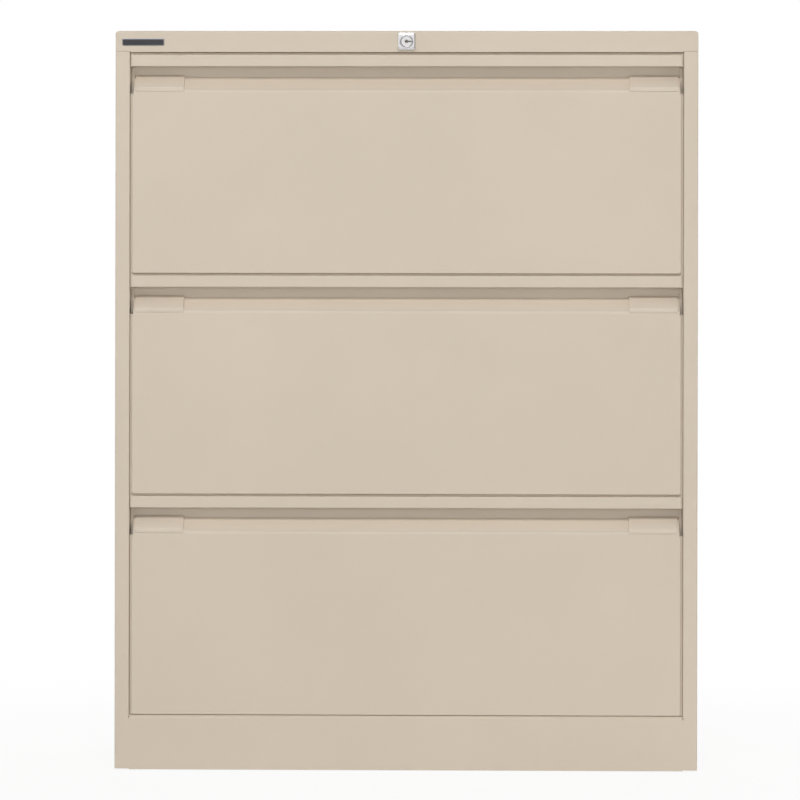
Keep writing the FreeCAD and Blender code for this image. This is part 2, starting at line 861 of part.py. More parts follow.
def build_lock_housing():
    """A square pillowed bezel with a barrel behind it, bored for the plug."""
    body = new_body("lock_housing")
    half = cell("lock_face") / 2
    bezel_front = front - cell("lock_proud")
    bore = cell("plug_radius") + cell("running_gap")
    square = rectangle(-half, lock_height - half, half, lock_height + half, 4.0)
    bezel = pad(body, Y_WAY, bezel_front, front, square)
    front_at = bezel_front.number
    rim = body.newObject("PartDesign::Chamfer", "lock_housing_rim")
    rim.Base = (
        bezel,
        [
            f"Edge{index}"
            for index, edge in enumerate(bezel.Shape.Edges, start=1)
            if lies_at(edge.BoundBox.YMin, edge.BoundBox.YMax, front_at)
        ],
    )
    bind(rim, "Size", cell("bezel_rim"))
    doc.recompute()
    barrel = (0.0, lock_height, cell("barrel_radius"))
    pad(body, Y_WAY, front - 1.0, front + 20.0, circles=[barrel])
    pocket(body, Y_WAY, bezel_front - 1.0, front + 21.0, circles=[(0.0, lock_height, bore)])


def lock_hexagon(across_flats):
    """Return a hexagon round the lock's axis."""
    corner = across_flats / math.sqrt(3.0)
    return [
        (
            Size(round(corner * math.cos(math.radians(60 * step)), 4)),
            lock_height + round(corner * math.sin(math.radians(60 * step)), 4),
        )
        for step in range(6)
    ]


def build_lock_nut():
    """The hexagonal nut that clamps the lock housing in the top rail."""
    body = new_body("lock_nut")
    hexagon = lock_hexagon(26.0)
    bore = (0.0, lock_height, cell("barrel_radius") + 0.05)
    pad(body, Y_WAY, front + gauge, front + gauge + 5.0, hexagon, circles=[bore])


def build_lock_plug():
    """The turning plug with its keyway."""
    body = new_body("lock_plug")
    face = front - cell("lock_proud") + 0.6
    pad(body, Y_WAY, face, front + 23.0, circles=[(0.0, lock_height, cell("plug_radius"))])
    keyway = [
        (-3.0, lock_height - 2.0, 1.2),
        (-0.4, lock_height - 1.4),
        (5.2, lock_height - 0.9),
        (5.2, lock_height + 0.9),
        (-0.4, lock_height + 0.9),
        (-3.0, lock_height + 2.0, 1.2),
    ]
    pocket(body, Y_WAY, face - 1.0, face + 12.0, keyway)


def drive_pin():
    """Return the crank pin's place with the plug at rest."""
    offset = cell("crank_radius") * round(math.sqrt(0.5), 6)
    return offset, lock_height - offset


def build_lock_cam():
    """The crank plate on the back of the plug, with the pin that drives the link bar."""
    body = new_body("lock_cam")
    pin_across, pin_up = drive_pin()
    plate = front + 23.0
    around = 5.2
    tip = around * math.sqrt(2.0)
    hub = 6.5 * math.sqrt(2.0)
    outline = [
        (pin_across, pin_up - tip, 5.0),
        (pin_across + tip, pin_up, 5.0),
        (Size(0.0), lock_height + hub, 5.5),
        (Size(-hub), lock_height, 5.5),
    ]
    pad(body, Y_WAY, plate, plate + 2.5, facet_bends(outline))
    pad(body, Y_WAY, plate + 1.0, front + 32.5, circles=[(pin_across, pin_up, cell("drive_pin_radius"))])


def build_cam_screw():
    """The hexagon-headed screw that holds the cam on the plug."""
    body = new_body("cam_screw")
    seat = front + 25.5
    pad(body, Y_WAY, seat, seat + 2.6, lock_hexagon(8.0))


def build_link_bar():
    """The bar behind the top rail: a slot for the crank pin, and a sloping slot at its left end."""
    body = new_body("link_bar")
    stroke = cell("crank_radius") * round(math.sqrt(2.0), 6)
    pin_across, pin_up = drive_pin()
    low = top - 26.0
    high = top - 10.0
    left = -follower_across - 10.0
    plate_right = left + stroke + 26.0
    plate_low = follower_height - 10.0
    outline = [
        (left, plate_low, 3.0),
        (plate_right, plate_low, 3.0),
        (plate_right, low, 4.0),
        (pin_across - 11.0, low, 4.0),
        (pin_across - 11.0, low - 9.0, 3.0),
        (pin_across + 11.0, low - 9.0, 3.0),
        (pin_across + 11.0, high, 3.0),
        (left, high, 3.0),
    ]
    pad(body, Y_WAY, link_front, link_back, facet_bends(outline))
    half = cell("drive_pin_radius") + cell("drive_slot_gap")
    slot_low = lock_height - cell("crank_radius") - half - 0.6
    slot_high = pin_up + half + 0.6
    round_end = half * 0.98
    drive_slot = rectangle(pin_across - half, slot_low, pin_across + half, slot_high, round_end)
    pocket(body, Y_WAY, link_front - 1.0, link_back + 1.0, drive_slot)
    wide = cell("follower_radius") + cell("follower_gap")
    reach = wide * round(math.sqrt(2.0), 6)
    low_across = -follower_across
    high_across = low_across + stroke
    high_up = follower_height + stroke
    follower_slot = [
        (low_across - reach, follower_height, wide * 0.98),
        (low_across, follower_height - reach, wide * 0.98),
        (high_across + reach, high_up, wide * 0.98),
        (high_across, high_up + reach, wide * 0.98),
    ]
    pocket(body, Y_WAY, link_front - 1.0, link_back + 1.0, follower_slot)


def build_link_guides():
    """Plastic guides under the top panel that the link bar slides through."""
    body = new_body("link_guides")
    low = top - 26.0
    high = top - 10.0
    clear = 0.5
    for across in (-290.0, -70.0):
        block = rectangle(link_front - 4.0, low - 5.0, link_back + 4.0, top - gauge)
        pad(body, X_WAY, Size(across), Size(across) + 14.0, block)
        slot = rectangle(link_front - clear, low - clear, link_back + clear, high + clear)
        pocket(body, X_WAY, Size(across) - 1.0, Size(across) + 15.0, slot)


def build_lock_bar():
    """The upright bar in the left front corner, with the arm at its top that the link bar lifts."""
    body = new_body("lock_bar")
    lowest = drawer_base(3) + 150.0
    arm_low = follower_height - 10.0
    arm_high = follower_height + 10.0
    arm_end = -follower_across + 10.0
    blade = [
        (-bar_outer, lowest, 2.0),
        (-bar_inner, lowest, 2.0),
        (-bar_inner, arm_low, 3.0),
        (arm_end, arm_low, 4.0),
        (arm_end, arm_high, 4.0),
        (-bar_outer, arm_high, 4.0),
    ]
    pad(body, Y_WAY, bar_front, bar_back, facet_bends(blade))


def build_lock_hooks():
    """Three folded hooks, spot-welded behind the lock bar, one for each drawer's catch."""
    body = new_body("lock_hooks")
    tip = -(tray_half + 4.0)
    thick = cell("bar_gauge")
    for number in DRAWERS:
        low = drawer_base(number) + hook_low
        high = drawer_base(number) + hook_high
        tongue = [
            (-bar_outer + 1.0, low, 2.0),
            (tip, low, 2.0),
            (tip, high, 2.0),
            (-bar_outer + 1.0, high, 2.0),
        ]
        pad(body, Y_WAY, bar_back, bar_back + thick, facet_bends(tongue))
        nose = rectangle(tip - thick, low + 2.0, tip, high - 2.0)
        pad(body, Y_WAY, bar_back + thick / 2, bar_back + 10.0, nose)


def build_follower_pin():
    """The pin of the lock bar that rides in the link bar's sloping slot."""
    body = new_body("follower_pin")
    centre = (-follower_across, follower_height)
    pad(body, Y_WAY, link_front - 3.0, bar_front, circles=[centre + (cell("follower_radius"),)])


def build_lock_bar_guides():
    """Plastic guides on the left side wall that the lock bar slides through."""
    body = new_body("lock_bar_guides")
    clear = 0.5
    wall = half_width - gauge
    for number in DRAWERS:
        low = drawer_base(number) + hook_low - 50.0
        high = low + 16.0
        block = rectangle(-wall, bar_front - 4.0, -(bar_inner - 2.5), bar_back + 4.0)
        pad(body, Z_WAY, low, high, block)
        slot = rectangle(-bar_outer - clear, bar_front - clear, -bar_inner + clear, bar_back + clear)
        pocket(body, Z_WAY, low - 1.0, high + 1.0, slot)


def build_all():
    """Build every sub-part."""
    build_top_panel()
    build_side("side_left", -1)
    build_side("side_right", 1)
    build_back_panel()
    build_plinth()
    build_base_pan()
    build_uprights("front_uprights", upright_front)
    build_uprights("rear_uprights", upright_rear)
    build_foot_brackets()
    build_foot_nuts()
    build_levelling_feet()
    for number in DRAWERS:
        build_drawer_front(number)
        build_front_liner(number)
        build_tray(number)
        build_hanging_rails(number)
        build_label_holders(number)
        build_catch(number)
        build_slide_outer(number)
        build_slide_middle(number)
        build_slide_inner(number)
        build_cages(number, "outer_cages", 1.5, 9.8, 19.5)
        build_cages(number, "inner_cages", 3.85, 10.5, 14.8)
    build_lock_housing()
    build_lock_nut()
    build_lock_plug()
    build_lock_cam()
    build_cam_screw()
    build_link_bar()
    build_link_guides()
    build_lock_bar()
    build_lock_hooks()
    build_follower_pin()
    build_lock_bar_guides()
    doc.recompute()


def write_parts():
    """Check every object, then write each sub-part to a file of its own."""
    faults = [item.Name for item in doc.Objects if {"Invalid", "Error"} & set(item.State)]
    if faults:
        raise RuntimeError(f"failed objects: {faults}")
    bodies = [item for item in doc.Objects if item.TypeId == "PartDesign::Body"]
    for body in bodies:
        if body.Shape.isNull() or not body.Shape.isValid():
            raise RuntimeError(f"{body.Label} has no valid shape")
    os.makedirs("parts", exist_ok=True)
    for body in bodies:
        body.Shape.exportStep(f"parts/{body.Label}.step")
        box = body.Shape.BoundBox
        print(
            f"{body.Label}: {len(body.Shape.Solids)} solids, {body.Shape.Volume:.0f} mm3, "
            f"X {box.XMin:.1f} {box.XMax:.1f}, Y {box.YMin:.1f} {box.YMax:.1f}, "
            f"Z {box.ZMin:.1f} {box.ZMax:.1f}"
        )


build_all()
write_parts()
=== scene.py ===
import json
import math

import bmesh
import bpy
import numpy as np
from bpy.props import FloatProperty, FloatVectorProperty, IntProperty, PointerProperty
from mathutils import Matrix, Vector


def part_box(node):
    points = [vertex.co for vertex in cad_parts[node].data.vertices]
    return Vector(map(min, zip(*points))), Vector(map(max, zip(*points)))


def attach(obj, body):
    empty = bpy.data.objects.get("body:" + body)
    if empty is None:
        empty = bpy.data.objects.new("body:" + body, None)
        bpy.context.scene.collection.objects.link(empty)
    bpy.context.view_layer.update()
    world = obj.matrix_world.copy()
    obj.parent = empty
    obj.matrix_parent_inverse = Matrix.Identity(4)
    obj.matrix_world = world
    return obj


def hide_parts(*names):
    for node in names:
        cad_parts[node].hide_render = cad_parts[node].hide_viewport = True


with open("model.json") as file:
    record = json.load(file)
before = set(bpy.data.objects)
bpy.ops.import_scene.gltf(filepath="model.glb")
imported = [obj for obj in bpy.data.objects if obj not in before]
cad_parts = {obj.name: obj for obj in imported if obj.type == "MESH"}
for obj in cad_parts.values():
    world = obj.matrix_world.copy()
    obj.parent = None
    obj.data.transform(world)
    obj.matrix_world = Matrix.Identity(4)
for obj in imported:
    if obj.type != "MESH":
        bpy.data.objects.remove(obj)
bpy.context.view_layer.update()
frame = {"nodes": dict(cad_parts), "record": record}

bl_info = {
    "name": "Side filing cabinet",
    "version": (1, 0, 0),
    "blender": (4, 5, 0),
    "location": "View3D > Sidebar > Cabinet",
    "description": "Dresses the folded sheet steel filing cabinet and sets its studio",
    "category": "Object",
}

DRAWERS = (1, 2, 3)


# Places read from the frame

def low(node):
    """Lowest corner of a CAD node, in metres."""
    return Vector(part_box(node)[0])


def high(node):
    """Highest corner of a CAD node, in metres."""
    return Vector(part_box(node)[1])


FACE = low("plinth").y
LOCK_CENTRE = (low("lock_nut") + high("lock_nut")) / 2
PLATE_CENTRE = Vector((-0.3620, FACE, 1.0003))


# Sizes and colours that a user would change

def length(name, description, default):
    """A length property in metres."""
    return FloatProperty(name=name, description=description, default=default, unit="LENGTH",
                         subtype="DISTANCE")


def colour(name, description, default):
    """A linear colour property."""
    return FloatVectorProperty(name=name, description=description, default=default, size=3, subtype="COLOR",
                               min=0.0, max=1.0)


class CabinetSizes(bpy.types.PropertyGroup):
    """Sizes of the sheet metal, the lock and the small parts."""

    gauge: length("Sheet gauge", "Thickness of the folded sheet", 0.001)
    skirt_height: length("Skirt height", "Height of the top panel's skirt", 0.028)
    rail_depth: length("Rail depth", "Depth of the fold under the top rail", 0.016)
    rail_half: length("Rail half width", "Half the width of the fold under the top rail", 0.3795)
    front_half: length("Front half width", "Half the width of a drawer front", 0.377)
    front_height: length("Front height", "Height of a drawer front without the strip above it", 0.3002)
    cap_round: length("Cap rounding", "How far the top panel's side edges curve inwards", 0.0072)
    cap_fall: length("Cap fall", "How far the top panel's side edges curve downwards", 0.0038)
    cap_ease: length("Cap front rounding", "Radius of the top panel's front and back edges", 0.003)
    lip_height: length("Lip height", "Height of a drawer's pull lip", 0.016)
    lip_round: length("Lip rounding", "Outer radius of the fold over the pull lip", 0.0013)
    lip_seam: length("Lip seam", "Drop from the drawer's top to where the lip joins the scoop", 0.003)
    scoop_depth: length("Scoop depth", "Depth of the recess behind the pull lip", 0.022)
    scoop_crest: length("Scoop crest", "Drop from the drawer's top to where the slope begins", 0.0305)
    scoop_edge: length("Scoop edge", "Drop from the drawer's top to where the slope meets the panel", 0.049)
    scoop_round: length("Scoop rounding", "Outer radius of the bend between slope and panel", 0.009)
    scoop_inset: length("Scoop inset", "How much narrower the scoop is than the panel, at each end", 0.0018)
    panel_start: length("Panel start", "Drop from the slope's edge to where the flat panel begins", 0.006)
    front_fold: length("Front fold", "Depth of the flanges round a drawer front", 0.020)
    lap_depth: length("Lap depth", "How far the strips in the gaps stand behind the front", 0.0045)
    crown_depth: length("Crown depth", "How far the strip above the front stands behind it", 0.0054)
    lap_inset: length("Lap inset", "How far the strips beside the recess stand behind the front", 0.0190)
    lap_rise: length("Lap rise", "How far the strips in the gaps stand out from the front's edges", 0.0027)
    lap_thick: length("Lap thickness", "Thickness of the strips in the gaps, front to back", 0.005)
    holder_width: length("Holder width", "Width of a label holder", 0.067)
    holder_thick: length("Holder thickness", "Thickness of a label holder on the slope", 0.0032)
    bezel_half: length("Bezel half width", "Half the width of the square lock bezel", 0.0125)
    bezel_corner: length("Bezel corner", "Corner radius of the lock bezel", 0.0031635)
    bezel_round: length("Bezel rounding", "Radius of the bezel's front edge", 0.0033)
    barrel_radius: length("Barrel radius", "Radius of the lock's barrel behind the bezel", 0.011)
    plug_radius: length("Plug radius", "Radius of the lock's turning plug", 0.0083)
    groove_radius: length("Groove radius", "Radius of the fine groove in the plug's face", 0.0069)
    keyway_eye: length("Keyway eye", "Radius of the keyway's round eye", 0.0021)
    keyway_reach: length("Keyway reach", "Distance from the plug's middle to the keyway's thin end", 0.0064)
    keyway_half: length("Keyway half height", "Half the height of the keyway's thin end", 0.0010)
    plate_width: length("Name plate width", "Width of the blank name plate", 0.058)
    plate_height: length("Name plate height", "Height of the blank name plate", 0.0100)
    plate_border: length("Name plate border", "Width of the rim round the name plate's field", 0.0011)
    outer_ball: length("Outer ball radius", "Radius of the balls between fixed and middle members", 0.0019)
    inner_ball: length("Inner ball radius", "Radius of the balls between middle and inner members", 0.0015)
    outer_row: length("Outer row", "Distance of the outer balls from the cabinet's middle", 0.3725)
    inner_row: length("Inner row", "Distance of the inner balls from the cabinet's middle", 0.3710)
    ball_pitch: length("Ball pitch", "Distance between neighbouring balls in a cage", 0.019)
    ball_count: IntProperty(name="Balls in a row", description="Balls in one row of a cage", default=10,
                            min=1, max=40)
    slide_gauge: length("Slide gauge", "Thickness of the slide members", 0.0012)
    glide_radius: length("Glide radius", "Radius of a levelling foot's glide", 0.015)
    stud_radius: length("Stud radius", "Radius of a levelling foot's threaded stud", 0.00495)
    thread_depth: length("Thread depth", "Depth of the levelling studs' threads", 0.0007)
    thread_pitch: length("Thread pitch", "Pitch of the levelling studs' threads", 0.0015)


class CabinetColours(bpy.types.PropertyGroup):
    """Colours of the finishes."""

    paint: colour("Powder coat", "Beige powder coat", (0.630, 0.546, 0.445))
    inner_paint: colour("Inner powder coat", "Coat on the sheets inside the cabinet", (0.610, 0.528, 0.430))
    # The holders' tone is a touch paler than the paint: painted light that offsets the shade the pull lip
    # casts on the slope.
    holder: colour("Label holder", "Moulded label holders", (0.640, 0.556, 0.455))
    zinc: colour("Zinc", "Bright zinc plating", (0.56, 0.57, 0.58))
    dark_zinc: colour("Foot zinc", "Duller zinc on the feet and their nuts", (0.45, 0.46, 0.47))
    nylon: colour("Guide plastic", "Matt plastic of the bar guides", (0.12, 0.12, 0.125))
    chrome: colour("Chrome", "Polished chrome of the lock", (0.83, 0.82, 0.82))
    steel: colour("Ball steel", "Polished steel of the slide balls", (0.62, 0.62, 0.63))
    plate_rim: colour("Name plate rim", "Satin rim of the blank name plate", (0.30, 0.30, 0.31))
    plate_field: colour("Name plate field", "Dark field of the blank name plate", (0.030, 0.030, 0.035))
    # Painted shade: near-black that stands for the shade inside the keyway.
    painted_keyway_shade: colour("Keyway", "Dark inside of the keyway", (0.015, 0.015, 0.016))
    floor: colour("Floor", "Studio floor", (0.90, 0.90, 0.90))


def sizes():
    return bpy.context.scene.cabinet_sizes


def colours():
    return bpy.context.scene.cabinet_colours


# Outlines and grids

def round_corners(corners, radii, steps=6):
    """Closed outline with its corners turned into arcs.

    Each corner is cut at r / tan(half its inner angle) along both sides, and the gap is filled with the
    arc of radius r that touches both: centre + r (cos, sin) of an angle that runs evenly between them.
    """
    points = np.asarray(corners, float)
    radii = np.asarray(radii, float)[:, None]
    to_last = np.roll(points, 1, axis=0) - points
    to_next = np.roll(points, -1, axis=0) - points
    to_last /= np.linalg.norm(to_last, axis=1, keepdims=True)
    to_next /= np.linalg.norm(to_next, axis=1, keepdims=True)
    half = np.arccos(np.clip((to_last * to_next).sum(1, keepdims=True), -1.0, 1.0)) / 2.0
    bisector = to_last + to_next
    bisector /= np.linalg.norm(bisector, axis=1, keepdims=True)
    centre = points + bisector * radii / np.sin(half)
    start = points + to_last * radii / np.tan(half) - centre
    end = points + to_next * radii / np.tan(half) - centre
    first = np.arctan2(start[:, 1], start[:, 0])[:, None]
    turn = np.arctan2(end[:, 1], end[:, 0])[:, None] - first
    turn = (turn + math.pi) % (2.0 * math.pi) - math.pi
    angle = first + turn * np.linspace(0.0, 1.0, steps + 1)[None, :]
    arc = centre[:, None, :] + radii[:, :, None] * np.stack((np.cos(angle), np.sin(angle)), axis=-1)
    arc = arc.reshape(-1, 2)
    apart = np.linalg.norm(arc - np.roll(arc, 1, axis=0), axis=1) > 1e-7
    return arc[apart]


def place_outline(outline, axis):
    """Return the two columns of an outline as x, y and z, with the swept axis left at nought."""
    columns = {"x": (1, 2), "y": (0, 2), "z": (0, 1)}[axis]
    points = np.zeros((len(outline), 3))
    points[:, columns] = outline
    return points


def loft(rings, closed_ends=True):
    """Skin over rings of equally many points: quads between neighbours, and one face over each end."""
    rings = np.asarray(rings, float)
    count, around = rings.shape[:2]
    index = np.arange(count * around).reshape(count, around)
    low_edge = index[:-1]
    high_edge = index[1:]
    corners = (low_edge, np.roll(low_edge, -1, axis=1), np.roll(high_edge, -1, axis=1), high_edge)
    faces = np.stack(corners, axis=-1).reshape(-1, 4).tolist()
    if closed_ends:
        faces.append(index[0][::-1].tolist())
        faces.append(index[-1].tolist())
    return rings.reshape(-1, 3), faces


def sweep(outline, start, end, axis, ease=0.0):
    """Outline carried straight along an axis.

    With an ease, the two ends are drawn in towards the outline's middle along a quarter circle: at the
    angle t the section sits ease (1 - cos t) from the end and is drawn in by ease (1 - sin t).
    """
    flat = place_outline(outline, axis)
    along = "xyz".index(axis)
    if ease:
        angle = np.linspace(0.0, math.pi / 2.0, 4)
        inset = ease * (1.0 - np.sin(angle))
        step = ease * (1.0 - np.cos(angle))
        places = np.concatenate((start + step, (end - step)[::-1]))
        insets = np.concatenate((inset, inset[::-1]))
    else:
        places = np.array([start, end])
        insets = np.zeros(2)
    middle = (flat.max(axis=0) + flat.min(axis=0)) / 2.0
    away = flat - middle
    reach = np.maximum(np.abs(away).max(axis=0), 1e-9)
    shrink = 1.0 - insets[:, None, None] / reach
    rings = middle + away[None] * shrink
    rings[:, :, along] = places[:, None]
    return loft(rings)


def sweep_front(rows, reach):
    """Rows of distance behind the front, height and corner radius, carried across a drawer."""
    corners = [(FACE + inward, up) for inward, up, radius in rows]
    radii = [radius for inward, up, radius in rows]
    return sweep(round_corners(corners, radii, 8), -reach, reach, "x")


def rings_round_lock(angle, steps):
    """Rings round the lock's axis, each from a reach at every angle and a depth."""
    return [np.column_stack((LOCK_CENTRE.x + reach * np.cos(angle), np.full(len(angle), depth),
                             LOCK_CENTRE.z + reach * np.sin(angle))) for reach, depth in steps]


def join(*solids):
    """Several point and face pairs as one."""
    points = []
    faces = []
    count = 0
    for own_points, own_faces in solids:
        points.append(own_points)
        faces += [[corner + count for corner in face] for face in own_faces]
        count += len(own_points)
    return np.concatenate(points), faces


def make_piece(name, solid, body, material, sharp=35.0, replaces=()):
    """Put points and faces into a mesh whose normals point outwards, and hang it on a body."""
    points, faces = solid
    mesh = bpy.data.meshes.new(name)
    mesh.from_pydata(points.tolist(), [], faces)
    mesh.validate()
    mesh.polygons.foreach_set("use_smooth", np.ones(len(mesh.polygons), bool))
    piece = bpy.data.objects.new(name, mesh)
    bpy.context.scene.collection.objects.link(piece)
    turn_outwards(mesh)
    mesh.set_sharp_from_angle(angle=math.radians(sharp))
    mesh.materials.append(material)
    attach(piece, body)
    if replaces:
        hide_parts(*replaces)
    return piece


def turn_outwards(mesh):
    """Recalculate the faces' directions so that every closed shell points outwards."""
    work = bmesh.new()
    work.from_mesh(mesh)
    bmesh.ops.recalc_face_normals(work, faces=work.faces)
    work.to_mesh(mesh)
    work.free()


# Shader expressions

class Value:
    """A socket: sums, differences and products of it add their Math nodes."""

    def __init__(self, shader, socket):
        self.shader = shader
        self.socket = socket

    def maths(self, operation, *others):
        return self.shader.add("ShaderNodeMath", {"operation": operation}, [self, *others])

    def __add__(self, other):
        return self.maths("ADD", other)

    __radd__ = __add__

    def __sub__(self, other):
        return self.maths("SUBTRACT", other)

    def __rsub__(self, other):
        return self.shader.add("ShaderNodeMath", {"operation": "SUBTRACT"}, [other, self])

    def __mul__(self, other):
        return self.maths("MULTIPLY", other)

    __rmul__ = __mul__

    def clamp(self):
        return self.shader.add("ShaderNodeClamp", {}, [self, 0.0, 1.0])

    def between(self, low_edge, high_edge, low_value=0.0, high_value=1.0):
        """Smooth step from one value to another between two edges."""
        return self.shader.add("ShaderNodeMapRange", {"interpolation_type": "SMOOTHSTEP"},
                               [self, low_edge, high_edge, low_value, high_value])


class Shader:
    """A material's node tree, with one method for every kind of node."""

    def __init__(self, name):
        self.material = bpy.data.materials.new(name)
        self.material.use_nodes = True
        self.tree = self.material.node_tree
        self.surface = self.tree.nodes["Principled BSDF"]
        self.output = self.tree.nodes["Material Output"]

    @classmethod
    def on_tree(cls, tree):
        """Wrap a tree that has no surface shader of its own, such as a world's."""
        shader = cls.__new__(cls)
        shader.tree = tree
        return shader

    def add(self, kind, settings, sockets=(), output=0):
        """Add a node: its settings first, then its sockets by order or by name, and return one output."""
        node = self.tree.nodes.new(kind)
        for key, setting in settings.items():
            setattr(node, key, setting)
        pairs = sockets.items() if isinstance(sockets, dict) else enumerate(sockets)
        for key, given in pairs:
            self.feed(node.inputs[key], given)
        return Value(self, node.outputs[output])

    def feed(self, socket, given):
        if isinstance(given, Value):
            self.tree.links.new(given.socket, socket)
        elif socket.type == "RGBA" and len(given) == 3:
            socket.default_value = (*given, 1.0)
        else:
            socket.default_value = given

    def own(self, name, given):
        """Set or link one of the shader's own sockets."""
        self.feed(self.surface.inputs[name], given)

    def place(self):
        """The object's own coordinates, in metres."""
        return self.add("ShaderNodeTexCoord", {}, output="Object")

    def noise(self, scale, detail=2.0, rough=0.5, place=None):
        return self.add("ShaderNodeTexNoise", {}, {"Vector": place or self.place(), "Scale": scale,
                                                   "Detail": detail, "Roughness": rough})

    def dot(self, way, towards):
        """How far a direction points towards another, from -1 to 1."""
        return self.add("ShaderNodeVectorMath", {"operation": "DOT_PRODUCT"}, [way, towards],
                        output="Value")

    def painted_light_mask(self):
        """Mask of the painted light: nought on upright faces, and one on those that slope or lie flat and
        face up.
        """
        way = self.add("ShaderNodeTexCoord", {}, output="Normal")
        return self.dot(way, (0.0, 0.0, 1.0)).between(0.58, 0.76)

    def mix(self, factor, one, other):
        """Mix of two colours."""
        return self.add("ShaderNodeMix", {"data_type": "RGBA"}, {0: factor, 6: one, 7: other}, output=2)

    def bump(self, heights, distance, strength=1.0):
        """Height in parts of a distance in metres, as a bent normal."""
        return self.add("ShaderNodeBump", {}, {"Strength": strength, "Distance": distance,
                                               "Height": heights})


def scaled(tone, factor):
    return tuple(min(channel * factor, 1.0) for channel in tone)


def powder_coat(name, tone, roughness=0.46):
    """Powder coat: orange peel from two noises, a faint cloudiness, and painted light, a paler tone on what
    faces up.
    """
    shader = Shader(name)
    peel = shader.noise(620.0, 2.0, 0.55)
    ripple = shader.noise(210.0, 1.0, 0.5)
    cloud = shader.noise(3.2, 3.0, 0.55)
    handled = shader.noise(14.0, 4.0, 0.6)
    plain = shader.mix(cloud.between(0.3, 0.7), scaled(tone, 0.978), scaled(tone, 1.018))
    # Painted light: faces that slope up, such as the scoops' slopes, are given a paler tone as if lit from
    # above.
    painted_top_light = shader.mix(cloud.between(0.3, 0.7), scaled(tone, 1.18), scaled(tone, 1.21))
    shader.own("Base Color", shader.mix(shader.painted_light_mask(), plain, painted_top_light))
    shader.own("Roughness", handled.between(0.3, 0.75, roughness - 0.04, roughness + 0.05))
    shader.own("Normal", shader.bump(peel * 0.6 + ripple, 0.00006, 0.55))
    shader.own("Specular IOR Level", 0.42)
    return shader.material


def moulded(name, tone, roughness, grain):
    """Moulded plastic: a fine spark-eroded grain, an uneven sheen, and painted light, a paler tone on what
    faces up.
    """
    shader = Shader(name)
    pits = shader.noise(grain, 2.0, 0.6)
    flow = shader.noise(22.0, 3.0, 0.5)
    plain = shader.mix(flow.between(0.3, 0.7), scaled(tone, 0.97), scaled(tone, 1.02))
    # Painted light: faces that slope up are given a paler tone as if lit from above.
    shader.own("Base Color", shader.mix(shader.painted_light_mask(), plain, scaled(tone, 1.18)))
    shader.own("Roughness", flow.between(0.25, 0.75, roughness - 0.05, roughness + 0.05))
    shader.own("Normal", shader.bump(pits, 0.00004, 0.5))
    return shader.material


def plated(name, tone, roughness, spangle):
    """Zinc plating: cells of slightly different brightness, drawn lines and a dull bloom."""
    shader = Shader(name)
    place = shader.place()
    cells = shader.add("ShaderNodeTexVoronoi", {"feature": "F1"}, {"Vector": place, "Scale": spangle},
                       output="Color")
    shade = shader.add("ShaderNodeSeparateColor", {}, [cells])
    stretched = shader.add("ShaderNodeMapping", {}, {"Vector": place, "Scale": (900.0, 12.0, 900.0)})
    lines = shader.noise(1.0, 3.0, 0.6, stretched)
    bloom = shader.noise(16.0, 4.0, 0.6)
    uneven = (shade * 0.6 + bloom * 0.5).clamp()
    shader.own("Base Color", shader.mix(uneven, scaled(tone, 0.93), scaled(tone, 1.06)))
    shader.own("Metallic", 1.0)
    shader.own("Roughness", (shade * 0.04 + lines * 0.05 + bloom * 0.05 + (roughness - 0.07)).clamp())
    shader.own("Normal", shader.bump(lines, 0.00003, 0.2))
    return shader.material


def polished(name, tone, roughness, rings=0.0, centre=(0.0, 0.0, 0.0), mouth=None):
    """Polished metal with fine turning rings round a centre, and faint wiping marks.

    Behind the depth given as its mouth, what is cut into it is painted dark, as painted shade.
    """
    shader = Shader(name)
    place = shader.place()
    haze = shader.noise(160.0, 4.0, 0.65)
    wiped = shader.add("ShaderNodeMapping", {}, {"Vector": place, "Rotation": (0.0, 0.6, 0.0),
                                                 "Scale": (5200.0, 5200.0, 160.0)})
    scratch = shader.noise(1.0, 2.0, 0.5, wiped)
    bright = shader.mix(haze.between(0.3, 0.75), scaled(tone, 0.95), scaled(tone, 1.03))
    if mouth is None:
        shader.own("Base Color", bright)
    else:
        # Painted shade: past the mouth the colour turns near-black.
        depth = shader.add("ShaderNodeSeparateXYZ", {}, [place], output="Y")
        painted_keyway_shade = tuple(colours().painted_keyway_shade)
        shader.own("Base Color", shader.mix(depth.between(mouth, mouth + 0.0006), bright, painted_keyway_shade))
    shader.own("Metallic", 1.0)
    shader.own("Roughness", (haze * 0.06 + (roughness - 0.03)).clamp())
    heights = scratch * 0.4
    if rings:
        offset = shader.add("ShaderNodeVectorMath", {"operation": "SUBTRACT"}, [place, centre])
        flat = shader.add("ShaderNodeVectorMath", {"operation": "MULTIPLY"}, [offset, (1.0, 0.0, 1.0)])
        radius = shader.add("ShaderNodeVectorMath", {"operation": "LENGTH"}, [flat], output="Value")
        heights = heights + shader.add("ShaderNodeMath", {"operation": "SINE"}, [radius * rings])
    shader.own("Normal", shader.bump(heights, 0.000004, 0.5))
    return shader.material


